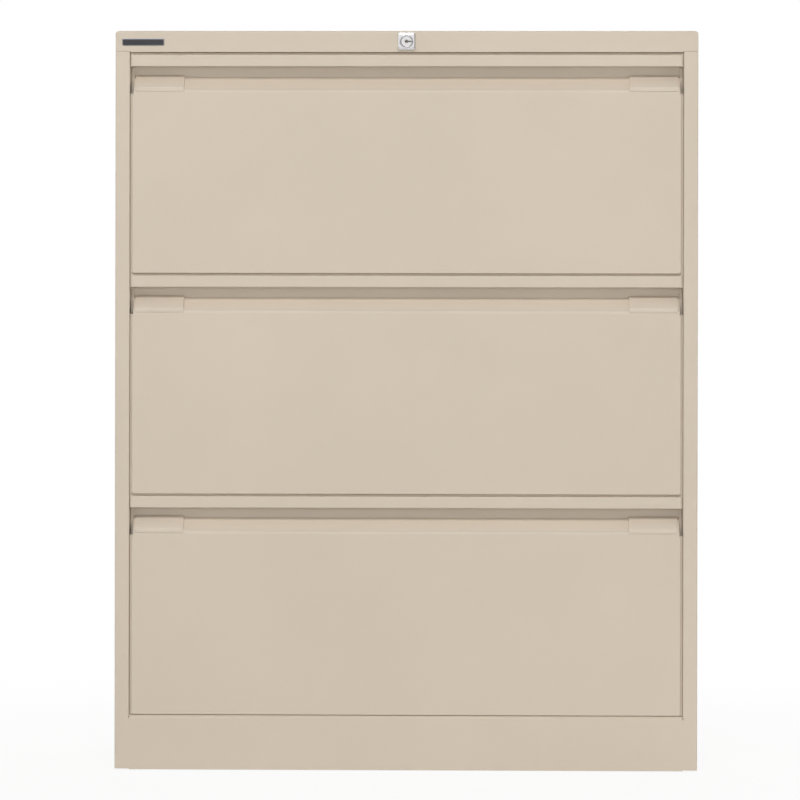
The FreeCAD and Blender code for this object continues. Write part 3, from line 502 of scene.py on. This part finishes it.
def get_finish(name):
    """Return a finish by name, made when it is first asked for."""
    if name in bpy.data.materials:
        return bpy.data.materials[name]
    tones = colours()
    makers = {
        "beige_powder_coat": lambda: powder_coat(name, tones.paint),
        "inner_powder_coat": lambda: powder_coat(name, tones.inner_paint, 0.52),
        "holder_plastic": lambda: moulded(name, tones.holder, 0.42, 1500.0),
        "guide_nylon": lambda: moulded(name, tones.nylon, 0.55, 2200.0),
        "bright_zinc": lambda: plated(name, tones.zinc, 0.30, 260.0),
        "dull_zinc": lambda: plated(name, tones.dark_zinc, 0.50, 420.0),
        "chrome_bezel": lambda: polished(name, tones.chrome, 0.16),
        # The turned chrome is painted dark past the plug's face: painted shade in the keyway.
        "turned_chrome": lambda: polished(name, tones.chrome, 0.18, 9000.0, tuple(LOCK_CENTRE),
                                          low("lock_plug").y + 0.0006),
        "plate_rim": lambda: polished(name, tones.plate_rim, 0.34),
        "ball_steel": lambda: polished(name, tones.steel, 0.12),
        "plate_enamel": lambda: moulded(name, tones.plate_field, 0.30, 900.0),
    }
    return makers[name]()


FINISH_OF_SLOT = {
    "beige_paint": "beige_powder_coat",
    "zinc_steel": "bright_zinc",
    "guide_plastic": "guide_nylon",
    "bright_chrome": "chrome_bezel",
    "foot_zinc": "dull_zinc",
}


# The pieces

class CABINET_OT_finishes(bpy.types.Operator):
    """Give every sheet, bar and nut of the frame its finish."""

    bl_idname = "cabinet.finishes"
    bl_label = "Finishes"

    def execute(self, context):
        inner_sheets = ("tray", "front_liner", "base_pan", "foot_brackets")
        for part in frame["record"]["subparts"]:
            node = part["node"]
            finish = FINISH_OF_SLOT[part["material_slot"]]
            if finish == "beige_powder_coat" and node.endswith(inner_sheets):
                finish = "inner_powder_coat"
            obj = frame["nodes"][node]
            if not obj.material_slots:
                obj.data.materials.append(None)
            for held in obj.material_slots:
                held.material = get_finish(finish)
        return {"FINISHED"}


class CABINET_OT_top_cap(bpy.types.Operator):
    """Fold the top panel: a cap with rounded edges over the whole cabinet, and the rail under its front."""

    bl_idname = "cabinet.top_cap"
    bl_label = "Top cap"

    def execute(self, context):
        own = sizes()
        node_low = low("top_panel")
        node_high = high("top_panel")
        skirt = node_high.z - own.skirt_height
        shell = join(self.make_cap(own, node_low, node_high, skirt), self.make_rail(own, skirt))
        make_piece("top_cap", shell, "cabinet", get_finish("beige_powder_coat"),
                   replaces=("top_panel",))
        return {"FINISHED"}

    def make_cap(self, own, node_low, node_high, skirt):
        """Rounded rectangles at the heights of a profile.

        The profile runs up the inside, round the hem and up the outside. Over the edge, at the angle t,
        each rectangle stands at top - fall (1 - sin t), and is drawn in by side (1 - cos t) at the sides.
        At the front and the back it is drawn in by the quarter circle of radius r that ends at the top.
        """
        middle = (node_low + node_high) / 2
        half = (node_high - node_low) / 2
        angle = np.linspace(0.0, math.pi / 2.0, 12)

        def over_edge(inset):
            drop = (own.cap_fall - inset) * (1 - np.sin(angle))
            ease = own.cap_ease - inset
            ends = ease - np.sqrt(ease ** 2 - np.clip(ease - drop, 0.0, None) ** 2)
            sides = (own.cap_round - inset) * (1 - np.cos(angle))
            return np.stack((inset + sides, inset + ends, node_high.z - inset - drop), axis=1)

        outer = over_edge(0.0)
        inner = over_edge(own.gauge)
        hem = np.array([(own.gauge, own.gauge, skirt), (0.0, 0.0, skirt)])
        profile = np.concatenate((inner[::-1], hem, outer))
        turn = (np.arange(4)[:, None] * (math.pi / 2.0) + np.linspace(0.0, math.pi / 2.0, 5)[None, :])
        signs = np.array([(1, 1), (-1, 1), (-1, -1), (1, -1)])
        corner = 0.0012
        rings = []
        for inset_x, inset_y, height in profile:
            radius = max(corner - max(inset_x, inset_y), 0.0002)
            centre = np.array([half.x - inset_x - radius, half.y - inset_y - radius]) * signs
            ring = centre[:, None, :] + radius * np.stack((np.cos(turn), np.sin(turn)), axis=-1)
            ring = ring.reshape(-1, 2) + np.array([middle.x, middle.y])
            rings.append(np.column_stack((ring, np.full(len(ring), height))))
        return loft(rings)

    def make_rail(self, own, skirt):
        """The rail's lower fold, an L carried across between the stiles."""
        foot = low("top_panel").z
        thin = own.gauge
        fold = FACE + own.rail_depth
        outline = [(FACE, skirt), (FACE, foot), (fold, foot), (fold, foot + thin),
                   (FACE + thin, foot + thin), (FACE + thin, skirt)]
        section = round_corners(outline, [0, 0.0012, 0.0003, 0.0003, 0.0002, 0])
        return sweep(section, -own.rail_half, own.rail_half, "x")


class CABINET_OT_drawer_fronts(bpy.types.Operator):
    """Fold the drawer fronts: hemmed pull lip, scoop and slope, flat panel with flanges."""

    bl_idname = "cabinet.drawer_fronts"
    bl_label = "Drawer fronts"

    def execute(self, context):
        own = sizes()
        for number in DRAWERS:
            node = f"drawer_{number}_front"
            base = low(node).z
            top = base + own.front_height
            shell = join(self.make_lip(own, top), self.make_scoop(own, top),
                         self.make_panel(own, base, top), self.make_fold(own, base),
                         *self.make_laps(own, base, top))
            make_piece(f"drawer_{number}_skin", shell, f"drawer_{number}",
                       get_finish("beige_powder_coat"), replaces=(node,))
        return {"FINISHED"}

    def make_lip(self, own, top):
        """The hemmed pull lip and the fold over it, one closed outline carried across the drawer."""
        thin = own.gauge
        rear = own.scoop_depth + thin
        lip = top - own.lip_height
        hem = 2.2 * thin
        turned_in = lip + 0.009
        seam = top - own.lip_seam
        rows = [
            (thin, top - thin, 0.001), (thin, turned_in, 0.0), (hem, turned_in, 0.0004),
            (hem, lip, 0.00105), (0.0, lip, 0.00105), (0.0, top, own.lip_round), (rear, top, 0.0016),
            (rear, seam, 0.0), (rear - thin, seam, 0.0), (rear - thin, top - thin, 0.0006),
        ]
        return sweep_front(rows, own.front_half + 0.0003)

    def make_scoop(self, own, top):
        """The scoop's back and slope, of constant thickness.

        The slope's faces are parallel lines a gauge apart, so each outer corner is moved along the
        bisector of its two faces.
        """
        thin = own.gauge
        deep = own.scoop_depth
        fall = own.scoop_edge - own.scoop_crest
        raise_front = thin * (math.hypot(deep, fall) - fall) / deep
        seam = top - own.lip_seam
        crest = top - own.scoop_crest
        edge = top - own.scoop_edge
        foot = edge - own.panel_start
        rows = [
            (deep + thin, seam, 0.0), (deep + thin, crest, 0.0010),
            (thin, edge, own.scoop_round - thin), (thin, foot, 0.0), (0.0, foot, 0.0),
            (0.0, edge + thin - raise_front, own.scoop_round), (deep, crest + thin - raise_front, 0.0016),
            (deep, seam, 0.0),
        ]
        return sweep_front(rows, own.front_half - own.scoop_inset)

    def make_panel(self, own, base, top):
        """The flat panel with its side flanges, a U carried upwards."""
        thin = own.gauge
        half = own.front_half
        fold = FACE + own.front_fold
        outline = [(-half, fold), (-half, FACE), (half, FACE), (half, fold), (half - thin, fold),
                   (half - thin, FACE + thin), (thin - half, FACE + thin), (thin - half, fold)]
        radii = [0.0003, 0.0014, 0.0014, 0.0003, 0.0003, 0.0005, 0.0005, 0.0003]
        head = top - own.scoop_edge - own.panel_start
        return sweep(round_corners(outline, radii), base + 2.0 * thin, head, "z")

    def make_fold(self, own, base):
        """The bottom fold, a J carried across."""
        thin = own.gauge
        fold = FACE + own.front_fold
        start = base + 2.0 * thin
        end = base + 0.012
        outline = [(FACE, start), (FACE, base), (fold + thin, base), (fold + thin, end), (fold, end),
                   (fold, base + thin), (FACE + thin, base + thin), (FACE + thin, start)]
        radii = [0.0, 0.0014, 0.0015, 0.0003, 0.0003, 0.0006, 0.0005, 0.0]
        reach = own.front_half - own.scoop_inset
        return sweep(round_corners(outline, radii), -reach, reach, "x")

    def make_laps(self, own, base, top):
        """The strips that close the gaps behind the front.

        They run up each side, deeper beside the recess, and across the top.
        """
        inside = own.front_half - own.scoop_inset
        outside = own.front_half + own.lap_rise
        crown = top + own.lap_rise
        radii = [0.0004] * 4
        brow = top - own.lip_height
        sill = top - own.scoop_edge - 0.004
        strips = []
        for depth, foot, head in ((own.lap_depth, base, sill), (own.lap_inset, sill, brow),
                                  (own.lap_depth, brow, crown)):
            near = FACE + depth
            far = near + own.lap_thick
            side = [(inside, near), (outside, near), (outside, far), (inside, far)]
            mirrored = [(-across, deep) for across, deep in side[::-1]]
            for outline in (side, mirrored):
                strips.append(sweep(round_corners(outline, radii, 3), foot, head, "z"))
        near = FACE + own.crown_depth
        far = near + own.lap_thick
        start = top - 0.0004
        bar = [(near, start), (far, start), (far, crown), (near, crown)]
        return (*strips, sweep(round_corners(bar, radii, 3), -outside, outside, "x"))


class CABINET_OT_label_holders(bpy.types.Operator):
    """Mould the label holders that lie on the slopes."""

    bl_idname = "cabinet.label_holders"
    bl_label = "Label holders"

    def execute(self, context):
        own = sizes()
        for number in DRAWERS:
            node = f"drawer_{number}_label_holders"
            shell = join(self.make_holder(own, node, -1), self.make_holder(own, node, 1))
            make_piece(f"drawer_{number}_labels", shell, f"drawer_{number}",
                       get_finish("holder_plastic"), replaces=(node,))
        return {"FINISHED"}

    def make_holder(self, own, node, hand):
        """A slanted plate, its section carried across with rounded ends."""
        near = low(node)
        far = high(node)
        slope = (own.scoop_edge - own.scoop_crest) / own.scoop_depth
        thick = own.holder_thick * math.hypot(1.0, slope)
        heel = FACE - 0.00005
        heel_z = far.z - thick - (far.y - heel) * slope
        nose_z = far.z - (far.y - near.y) * slope
        outline = [(near.y, near.z), (heel, near.z), (heel, heel_z), (far.y, far.z - thick), (far.y, far.z),
                   (near.y, nose_z)]
        across = np.array([far.x - own.holder_width, far.x]) * hand
        section = round_corners(outline, [0.0002, 0.0001, 0.0003, 0.0004, 0.0006, 0.0030])
        return sweep(section, across.min(), across.max(), "x", 0.0005)


class CABINET_OT_lock(bpy.types.Operator):
    """Cast the square lock bezel with its barrel, and turn the plug with its keyway."""

    bl_idname = "cabinet.lock"
    bl_label = "Lock"

    def execute(self, context):
        own = sizes()
        make_piece("lock_bezel", self.make_bezel(own), "cabinet",
                   get_finish("chrome_bezel"), replaces=("lock_housing",))
        make_piece("plug_face", self.make_plug(own), "lock_plug",
                   get_finish("turned_chrome"), replaces=("lock_plug",))
        return {"FINISHED"}

    def make_bezel(self, own):
        """Rings round the lock's axis that pass from a circle to a rounded square.

        At the angle a, the rounded square's reach solves |x / h|^n + |z / h|^n = 1, so the reach is
        h / (|cos a|^n + |sin a|^n)^(1/n). The corner radius r sets n: the curve crosses the diagonal
        where a true rounded square does, so 2^(-1/n) = 1 - (1 - sqrt(1/2)) r / h.
        """
        face = low("lock_housing").y
        rear = high("lock_housing").y
        angle = np.linspace(0.0, 2.0 * math.pi, 96, endpoint=False)
        diagonal = 1.0 - (1.0 - math.sqrt(0.5)) * own.bezel_corner / own.bezel_half
        power = -math.log(2.0) / math.log(diagonal)
        square = (np.abs(np.cos(angle)) ** power + np.abs(np.sin(angle)) ** power) ** (-1.0 / power)
        circle = np.ones_like(angle)
        barrel = own.barrel_radius
        bore = own.plug_radius + 0.00006
        half = own.bezel_half
        soft = own.bezel_round
        quarter = np.linspace(0.0, math.pi / 2.0, 6)
        steps = [(bore * circle, rear), (barrel * circle, rear), (barrel * circle, FACE - 0.0001)]
        steps += [((half - 0.0001) * square, FACE - 0.0001), (half * square, FACE - 0.0002)]
        steps += [((half - soft * (1 - math.cos(t))) * square, face + soft * (1 - math.sin(t)))
                  for t in quarter]
        flat = half - soft
        blend = np.linspace(0.35, 1.0, 3)[:, None]
        dish = bore + 0.0012
        steps += [(flat * square * (1 - b) + dish * circle * b, face) for b in blend]
        steps += [((bore + 0.0008) * circle, face + 0.0003), ((bore + 0.0004) * circle, face + 0.0008)]
        steps += [(bore * circle, face + 0.0014), (bore * circle, rear)]
        return loft(rings_round_lock(angle, steps), closed_ends=False)

    def make_plug(self, own):
        """Rings round the plug's axis, from the keyway's floor out over the face and back along the side.

        The keyway's outline is given by its reach at each angle: the distance to the outline of a
        slot that widens into a round eye, and it is blended into circles across the face.
        """
        face = low("lock_plug").y
        rear = high("lock_plug").y
        angle = np.linspace(0.0, 2.0 * math.pi, 128, endpoint=False)
        across = np.abs(np.sin(angle)) + 1e-6
        along = np.cos(angle)
        eye = own.keyway_eye
        ahead = np.where(along > 0.0, own.keyway_reach / np.maximum(along, 1e-3), eye * 1.2)
        keyway = np.maximum(np.minimum(own.keyway_half / across, ahead), eye)
        circle = np.ones_like(angle)
        radius = own.plug_radius - 0.00005
        steps = [(keyway * 0.02, face + 0.009), (keyway, face + 0.009), (keyway, face + 0.0003),
                 (keyway + 0.0002, face + 0.00005)]
        groove = own.groove_radius
        for share in (0.25, 0.6):
            steps.append((keyway * (1 - share) + groove * share, face))
        steps += [((groove - 0.0004) * circle, face), (groove * circle, face + 0.0004),
                  ((groove + 0.0004) * circle, face), ((radius - 0.0010) * circle, face),
                  ((radius - 0.0006) * circle, face + 0.0008), (radius * circle, face + 0.0009),
                  (radius * circle, rear)]
        return loft(rings_round_lock(angle, steps))


class CABINET_OT_name_plate(bpy.types.Operator):
    """Press the small blank plate at the top rail's left end."""

    bl_idname = "cabinet.name_plate"
    bl_label = "Name plate"

    def execute(self, context):
        own = sizes()
        wide = own.plate_width
        tall = own.plate_height
        border = 2.0 * own.plate_border
        rim_thick = 0.0009
        rim = self.make_plate(wide, tall, rim_thick, 0.0)
        make_piece("name_plate_rim", rim, "cabinet", get_finish("plate_rim"))
        field = self.make_plate(wide - border, tall - border, 0.0004, rim_thick)
        make_piece("name_plate_field", field, "cabinet", get_finish("plate_enamel"))
        return {"FINISHED"}

    def make_plate(self, wide, tall, thick, lift):
        """Rounded rectangles stacked outwards, the last drawn in along a quarter circle."""
        outline = round_corners([(-wide / 2, -tall / 2), (wide / 2, -tall / 2), (wide / 2, tall / 2),
                                 (-wide / 2, tall / 2)], [0.0016] * 4)
        quarter = np.linspace(0.0, math.pi / 2.0, 4)
        soft = thick * 0.6
        insets = np.concatenate(([0.0], soft * (1 - np.cos(quarter))))
        depths = np.concatenate(([0.0], thick - soft * (1 - np.sin(quarter))))
        half = np.array([wide / 2, tall / 2])
        rings = [np.column_stack((PLATE_CENTRE.x + outline[:, 0] * (1 - inset / half[0]),
                                  np.full(len(outline), PLATE_CENTRE.y - lift - depth),
                                  PLATE_CENTRE.z + outline[:, 1] * (1 - inset / half[1])))
                 for inset, depth in zip(insets, depths)]
        return loft(rings)


class CABINET_OT_slide_balls(bpy.types.Operator):
    """Roll the balls that run in the slides' cages."""

    bl_idname = "cabinet.slide_balls"
    bl_label = "Slide balls"

    def execute(self, context):
        own = sizes()
        for number in DRAWERS:
            for name, track, runner, radius, across in (
                    ("outer", "outer", "middle", own.outer_ball, own.outer_row),
                    ("inner", "middle", "inner", own.inner_ball, own.inner_row)):
                cage = f"drawer_{number}_{name}_cages"
                shell = self.make_balls(own, radius, across, cage, f"drawer_{number}_slide_{track}",
                                        f"drawer_{number}_slide_{runner}")
                make_piece(f"drawer_{number}_{name}_balls", shell, cage,
                           get_finish("ball_steel"))
        return {"FINISHED"}

    def make_balls(self, own, radius, across, cage, outside, inside):
        """Spheres of 8 by 5 faces in rows along the cage, at r (sin v cos u, sin v sin u, cos v)."""
        centre_z = (low(cage).z + high(cage).z) / 2
        lift = ((high(outside).z - own.slide_gauge) + high(inside).z) / 2 - centre_z
        start = (low(cage).y + high(cage).y) / 2 - own.ball_pitch * (own.ball_count - 1) / 2
        row = start + own.ball_pitch * np.arange(own.ball_count)
        grid = np.meshgrid((-across, across), row, (centre_z - lift, centre_z + lift), indexing="ij")
        places = np.stack(grid, axis=-1).reshape(-1, 3)
        around = np.linspace(0.0, 2.0 * math.pi, 8, endpoint=False)
        down = np.linspace(0.25, math.pi - 0.25, 5)
        unit = np.stack((np.sin(down)[:, None] * np.cos(around), np.sin(down)[:, None] * np.sin(around),
                         np.cos(down)[:, None] * np.ones_like(around)), axis=-1)
        points, faces = loft(unit * radius)
        return join(*((points + place, faces) for place in places))


class CABINET_OT_feet(bpy.types.Operator):
    """Turn the levelling feet: a rounded glide and a threaded stud."""

    bl_idname = "cabinet.feet"
    bl_label = "Levelling feet"

    def execute(self, context):
        own = sizes()
        near = low("levelling_feet")
        far = high("levelling_feet")
        inset = own.glide_radius
        places = [(x, y) for x in (near.x + inset, far.x - inset) for y in (near.y + inset, far.y - inset)]
        shell = join(*(self.make_foot(own, place, near.z, far.z) for place in places))
        make_piece("threaded_feet", shell, "cabinet", get_finish("dull_zinc"), 40.0,
                   replaces=("levelling_feet",))
        return {"FINISHED"}

    def make_foot(self, own, place, floor, top):
        """Turned profile whose stud's radius rises and falls once per pitch, delayed by the angle.

        The glide is rounded by a quarter circle at its lower edge and another at its upper edge.
        """
        angle = np.linspace(0.0, 2.0 * math.pi, 32, endpoint=False)
        quarter = np.linspace(0.0, math.pi / 2.0, 5)
        glide = own.glide_radius
        heel = 0.0015
        brow = 0.002
        tall = 0.0070
        base = [(0.0005, 0.0), (glide - heel, 0.0)]
        base += [(glide - heel * (1 - math.sin(t)), heel * (1 - math.cos(t))) for t in quarter[1:]]
        base += [(glide, tall - brow)]
        base += [(glide - brow * (1 - math.cos(t)), tall - brow * (1 - math.sin(t))) for t in quarter[1:]]
        base += [(0.0066, tall), (0.0062, tall)]
        base = np.array(base)
        rise = np.arange(tall + 0.0002, top - floor - 0.0008, own.thread_pitch / 5.0)
        phase = rise[:, None] / own.thread_pitch - angle[None, :] / (2.0 * math.pi)
        wave = np.abs((phase % 1.0) * 2.0 - 1.0)
        stud = own.stud_radius - own.thread_depth * wave
        reaches = np.concatenate((np.repeat(base[:, :1], len(angle), axis=1), stud,
                                  np.full((1, len(angle)), 0.0038)))
        heights = np.concatenate((base[:, 1], rise, [top - floor]))
        rings = np.stack((place[0] + reaches * np.cos(angle), place[1] + reaches * np.sin(angle),
                          np.repeat(floor + heights[:, None], len(angle), axis=1)), axis=-1)
        return loft(rings)


class CABINET_OT_studio(bpy.types.Operator):
    """Set the pale floor, the soft lamps and the camera."""

    bl_idname = "cabinet.studio"
    bl_label = "Studio"

    def execute(self, context):
        self.make_floor()
        self.make_world(context.scene)
        self.make_lamps(context.scene)
        self.make_camera(context.scene)
        context.scene.view_settings.view_transform = "Standard"
        return {"FINISHED"}

    def make_floor(self):
        """Pale floor, nearly white to the camera, that keeps the cabinet's shadow."""
        mesh = bpy.data.meshes.new("studio_floor")
        reach = 40.0
        corners = [(-reach, -reach, 0), (reach, -reach, 0), (reach, reach, 0), (-reach, reach, 0)]
        mesh.from_pydata(corners, [], [(0, 1, 2, 3)])
        floor = bpy.data.objects.new("studio_floor", mesh)
        bpy.context.scene.collection.objects.link(floor)
        shader = Shader("floor_white")
        shader.own("Base Color", tuple(colours().floor))
        shader.own("Roughness", 0.9)
        shader.own("Specular IOR Level", 0.1)
        straight = shader.add("ShaderNodeLightPath", {}, output="Is Camera Ray")
        glossy = shader.add("ShaderNodeLightPath", {}, output="Is Glossy Ray")
        white = shader.add("ShaderNodeEmission", {}, {"Color": (1.0, 1.0, 1.0), "Strength": 1.0})
        away = shader.add("ShaderNodeVectorMath", {"operation": "LENGTH"}, [shader.place()], output="Value")
        seen = (straight * away.between(0.5, 2.0, 0.90, 1.0) + glossy * 0.12).clamp()
        matt = Value(shader, shader.surface.outputs[0])
        mixed = shader.add("ShaderNodeMixShader", {}, [seen, matt, white])
        shader.feed(shader.output.inputs["Surface"], mixed)
        mesh.materials.append(shader.material)

    def make_world(self, scene):
        """White to the camera and through glass, and a soft grey fill for everything else.

        Gloss sees a sky that is bright towards the upper front left and dark behind the lower right.
        """
        world = bpy.data.worlds.new("studio_world")
        world.use_nodes = True
        tree = world.node_tree
        tree.nodes.clear()
        shader = Shader.on_tree(tree)
        straight = shader.add("ShaderNodeLightPath", {}, output="Is Camera Ray")
        through = shader.add("ShaderNodeLightPath", {}, output="Is Transmission Ray")
        glossy = shader.add("ShaderNodeLightPath", {}, output="Is Glossy Ray")
        way = shader.add("ShaderNodeTexCoord", {}, output="Generated")
        sky = shader.dot(way, (-0.45, -0.75, 0.48)).between(-0.35, 0.40, 0.12, 0.95)
        plain = (straight + through).clamp()
        strength = plain + (1.0 - plain) * (glossy * sky + (1.0 - glossy) * 0.15)
        background = shader.add("ShaderNodeBackground", {}, {"Color": (1.0, 1.0, 1.0),
                                                             "Strength": strength})
        output = tree.nodes.new("ShaderNodeOutputWorld")
        shader.feed(output.inputs["Surface"], background)
        scene.world = world

    def make_lamps(self, scene):
        """Soft rectangular lamps, each with its place, width, height and power."""
        aim = Vector((0.0, 0.0, 0.55))
        lamps = (
            ("key_lamp", (-0.6, -8.5, 7.6), 6.0, 1.8, 488.0),
            ("front_lamp", (0.0, -7.6, 0.9), 5.0, 1.8, 128.0),
            ("left_lamp", (-3.8, -1.6, 1.4), 2.0, 2.4, 16.0),
            ("right_lamp", (3.8, -1.6, 1.4), 2.0, 2.4, 20.0),
            ("back_lamp", (0.5, 3.6, 2.8), 2.6, 1.6, 80.0),
            ("left_rear_lamp", (-3.8, 1.6, 1.6), 2.2, 2.2, 26.0),
            ("right_rear_lamp", (3.8, 1.6, 1.6), 2.2, 2.2, 26.0),
        )
        for name, place, wide, tall, power in lamps:
            data = bpy.data.lights.new(name, "AREA")
            data.shape = "RECTANGLE"
            data.size = wide
            data.size_y = tall
            data.energy = power
            lamp = bpy.data.objects.new(name, data)
            turn = (aim - Vector(place)).to_track_quat("-Z", "Y").to_matrix().to_4x4()
            lamp.matrix_world = Matrix.Translation(place) @ turn
            lamp.visible_glossy = name in {"key_lamp", "back_lamp"}
            scene.collection.objects.link(lamp)

    def make_camera(self, scene):
        """Camera square to the front, a little right of the middle, far back with a long lens."""
        frame_pixels = 800.0
        focal_pixels = 4518.0
        yaw, pitch, roll = 0.02279, -0.00135, 0.00186
        right = Vector((math.cos(yaw), math.sin(yaw), 0.0))
        ahead = Vector((-math.sin(yaw) * math.cos(pitch), math.cos(yaw) * math.cos(pitch), math.sin(pitch)))
        above = right.cross(ahead)
        turned = right * math.cos(roll) + above * math.sin(roll)
        above = above * math.cos(roll) - right * math.sin(roll)
        data = bpy.data.cameras.new("photo_camera")
        data.sensor_fit = "HORIZONTAL"
        data.angle = 2.0 * math.atan(frame_pixels / 2.0 / focal_pixels)
        data.shift_x = 18.22 / frame_pixels
        data.shift_y = -24.80 / frame_pixels
        data.clip_end = 100.0
        camera = bpy.data.objects.new("photo_camera", data)
        turn = Matrix((turned, above, -ahead)).transposed()
        camera.matrix_world = Matrix.Translation((0.10807, -6.432, 0.55161)) @ turn.to_4x4()
        scene.collection.objects.link(camera)
        scene.camera = camera


STEPS = (
    CABINET_OT_finishes,
    CABINET_OT_top_cap,
    CABINET_OT_drawer_fronts,
    CABINET_OT_label_holders,
    CABINET_OT_lock,
    CABINET_OT_name_plate,
    CABINET_OT_slide_balls,
    CABINET_OT_feet,
    CABINET_OT_studio,
)


class CABINET_PT_sidebar(bpy.types.Panel):
    """Lists the pieces and the studio."""

    bl_idname = "CABINET_PT_sidebar"
    bl_label = "Filing cabinet"
    bl_space_type = "VIEW_3D"
    bl_region_type = "UI"
    bl_category = "Cabinet"

    def draw(self, context):
        for step in STEPS:
            self.layout.operator(step.bl_idname)
        for group in (context.scene.cabinet_sizes, context.scene.cabinet_colours):
            box = self.layout.box()
            for name in group.__annotations__:
                box.prop(group, name)


CLASSES = (CabinetSizes, CabinetColours, *STEPS, CABINET_PT_sidebar)


def register():
    for item in CLASSES:
        bpy.utils.register_class(item)
    bpy.types.Scene.cabinet_sizes = PointerProperty(type=CabinetSizes)
    bpy.types.Scene.cabinet_colours = PointerProperty(type=CabinetColours)


def unregister():
    del bpy.types.Scene.cabinet_colours
    del bpy.types.Scene.cabinet_sizes
    for item in reversed(CLASSES):
        bpy.utils.unregister_class(item)


def main():
    register()
    bpy.ops.cabinet.finishes()
    bpy.ops.cabinet.top_cap()
    bpy.ops.cabinet.drawer_fronts()
    bpy.ops.cabinet.label_holders()
    bpy.ops.cabinet.lock()
    bpy.ops.cabinet.name_plate()
    bpy.ops.cabinet.slide_balls()
    bpy.ops.cabinet.feet()
    bpy.ops.cabinet.studio()


if __name__ == "__main__":
    main()
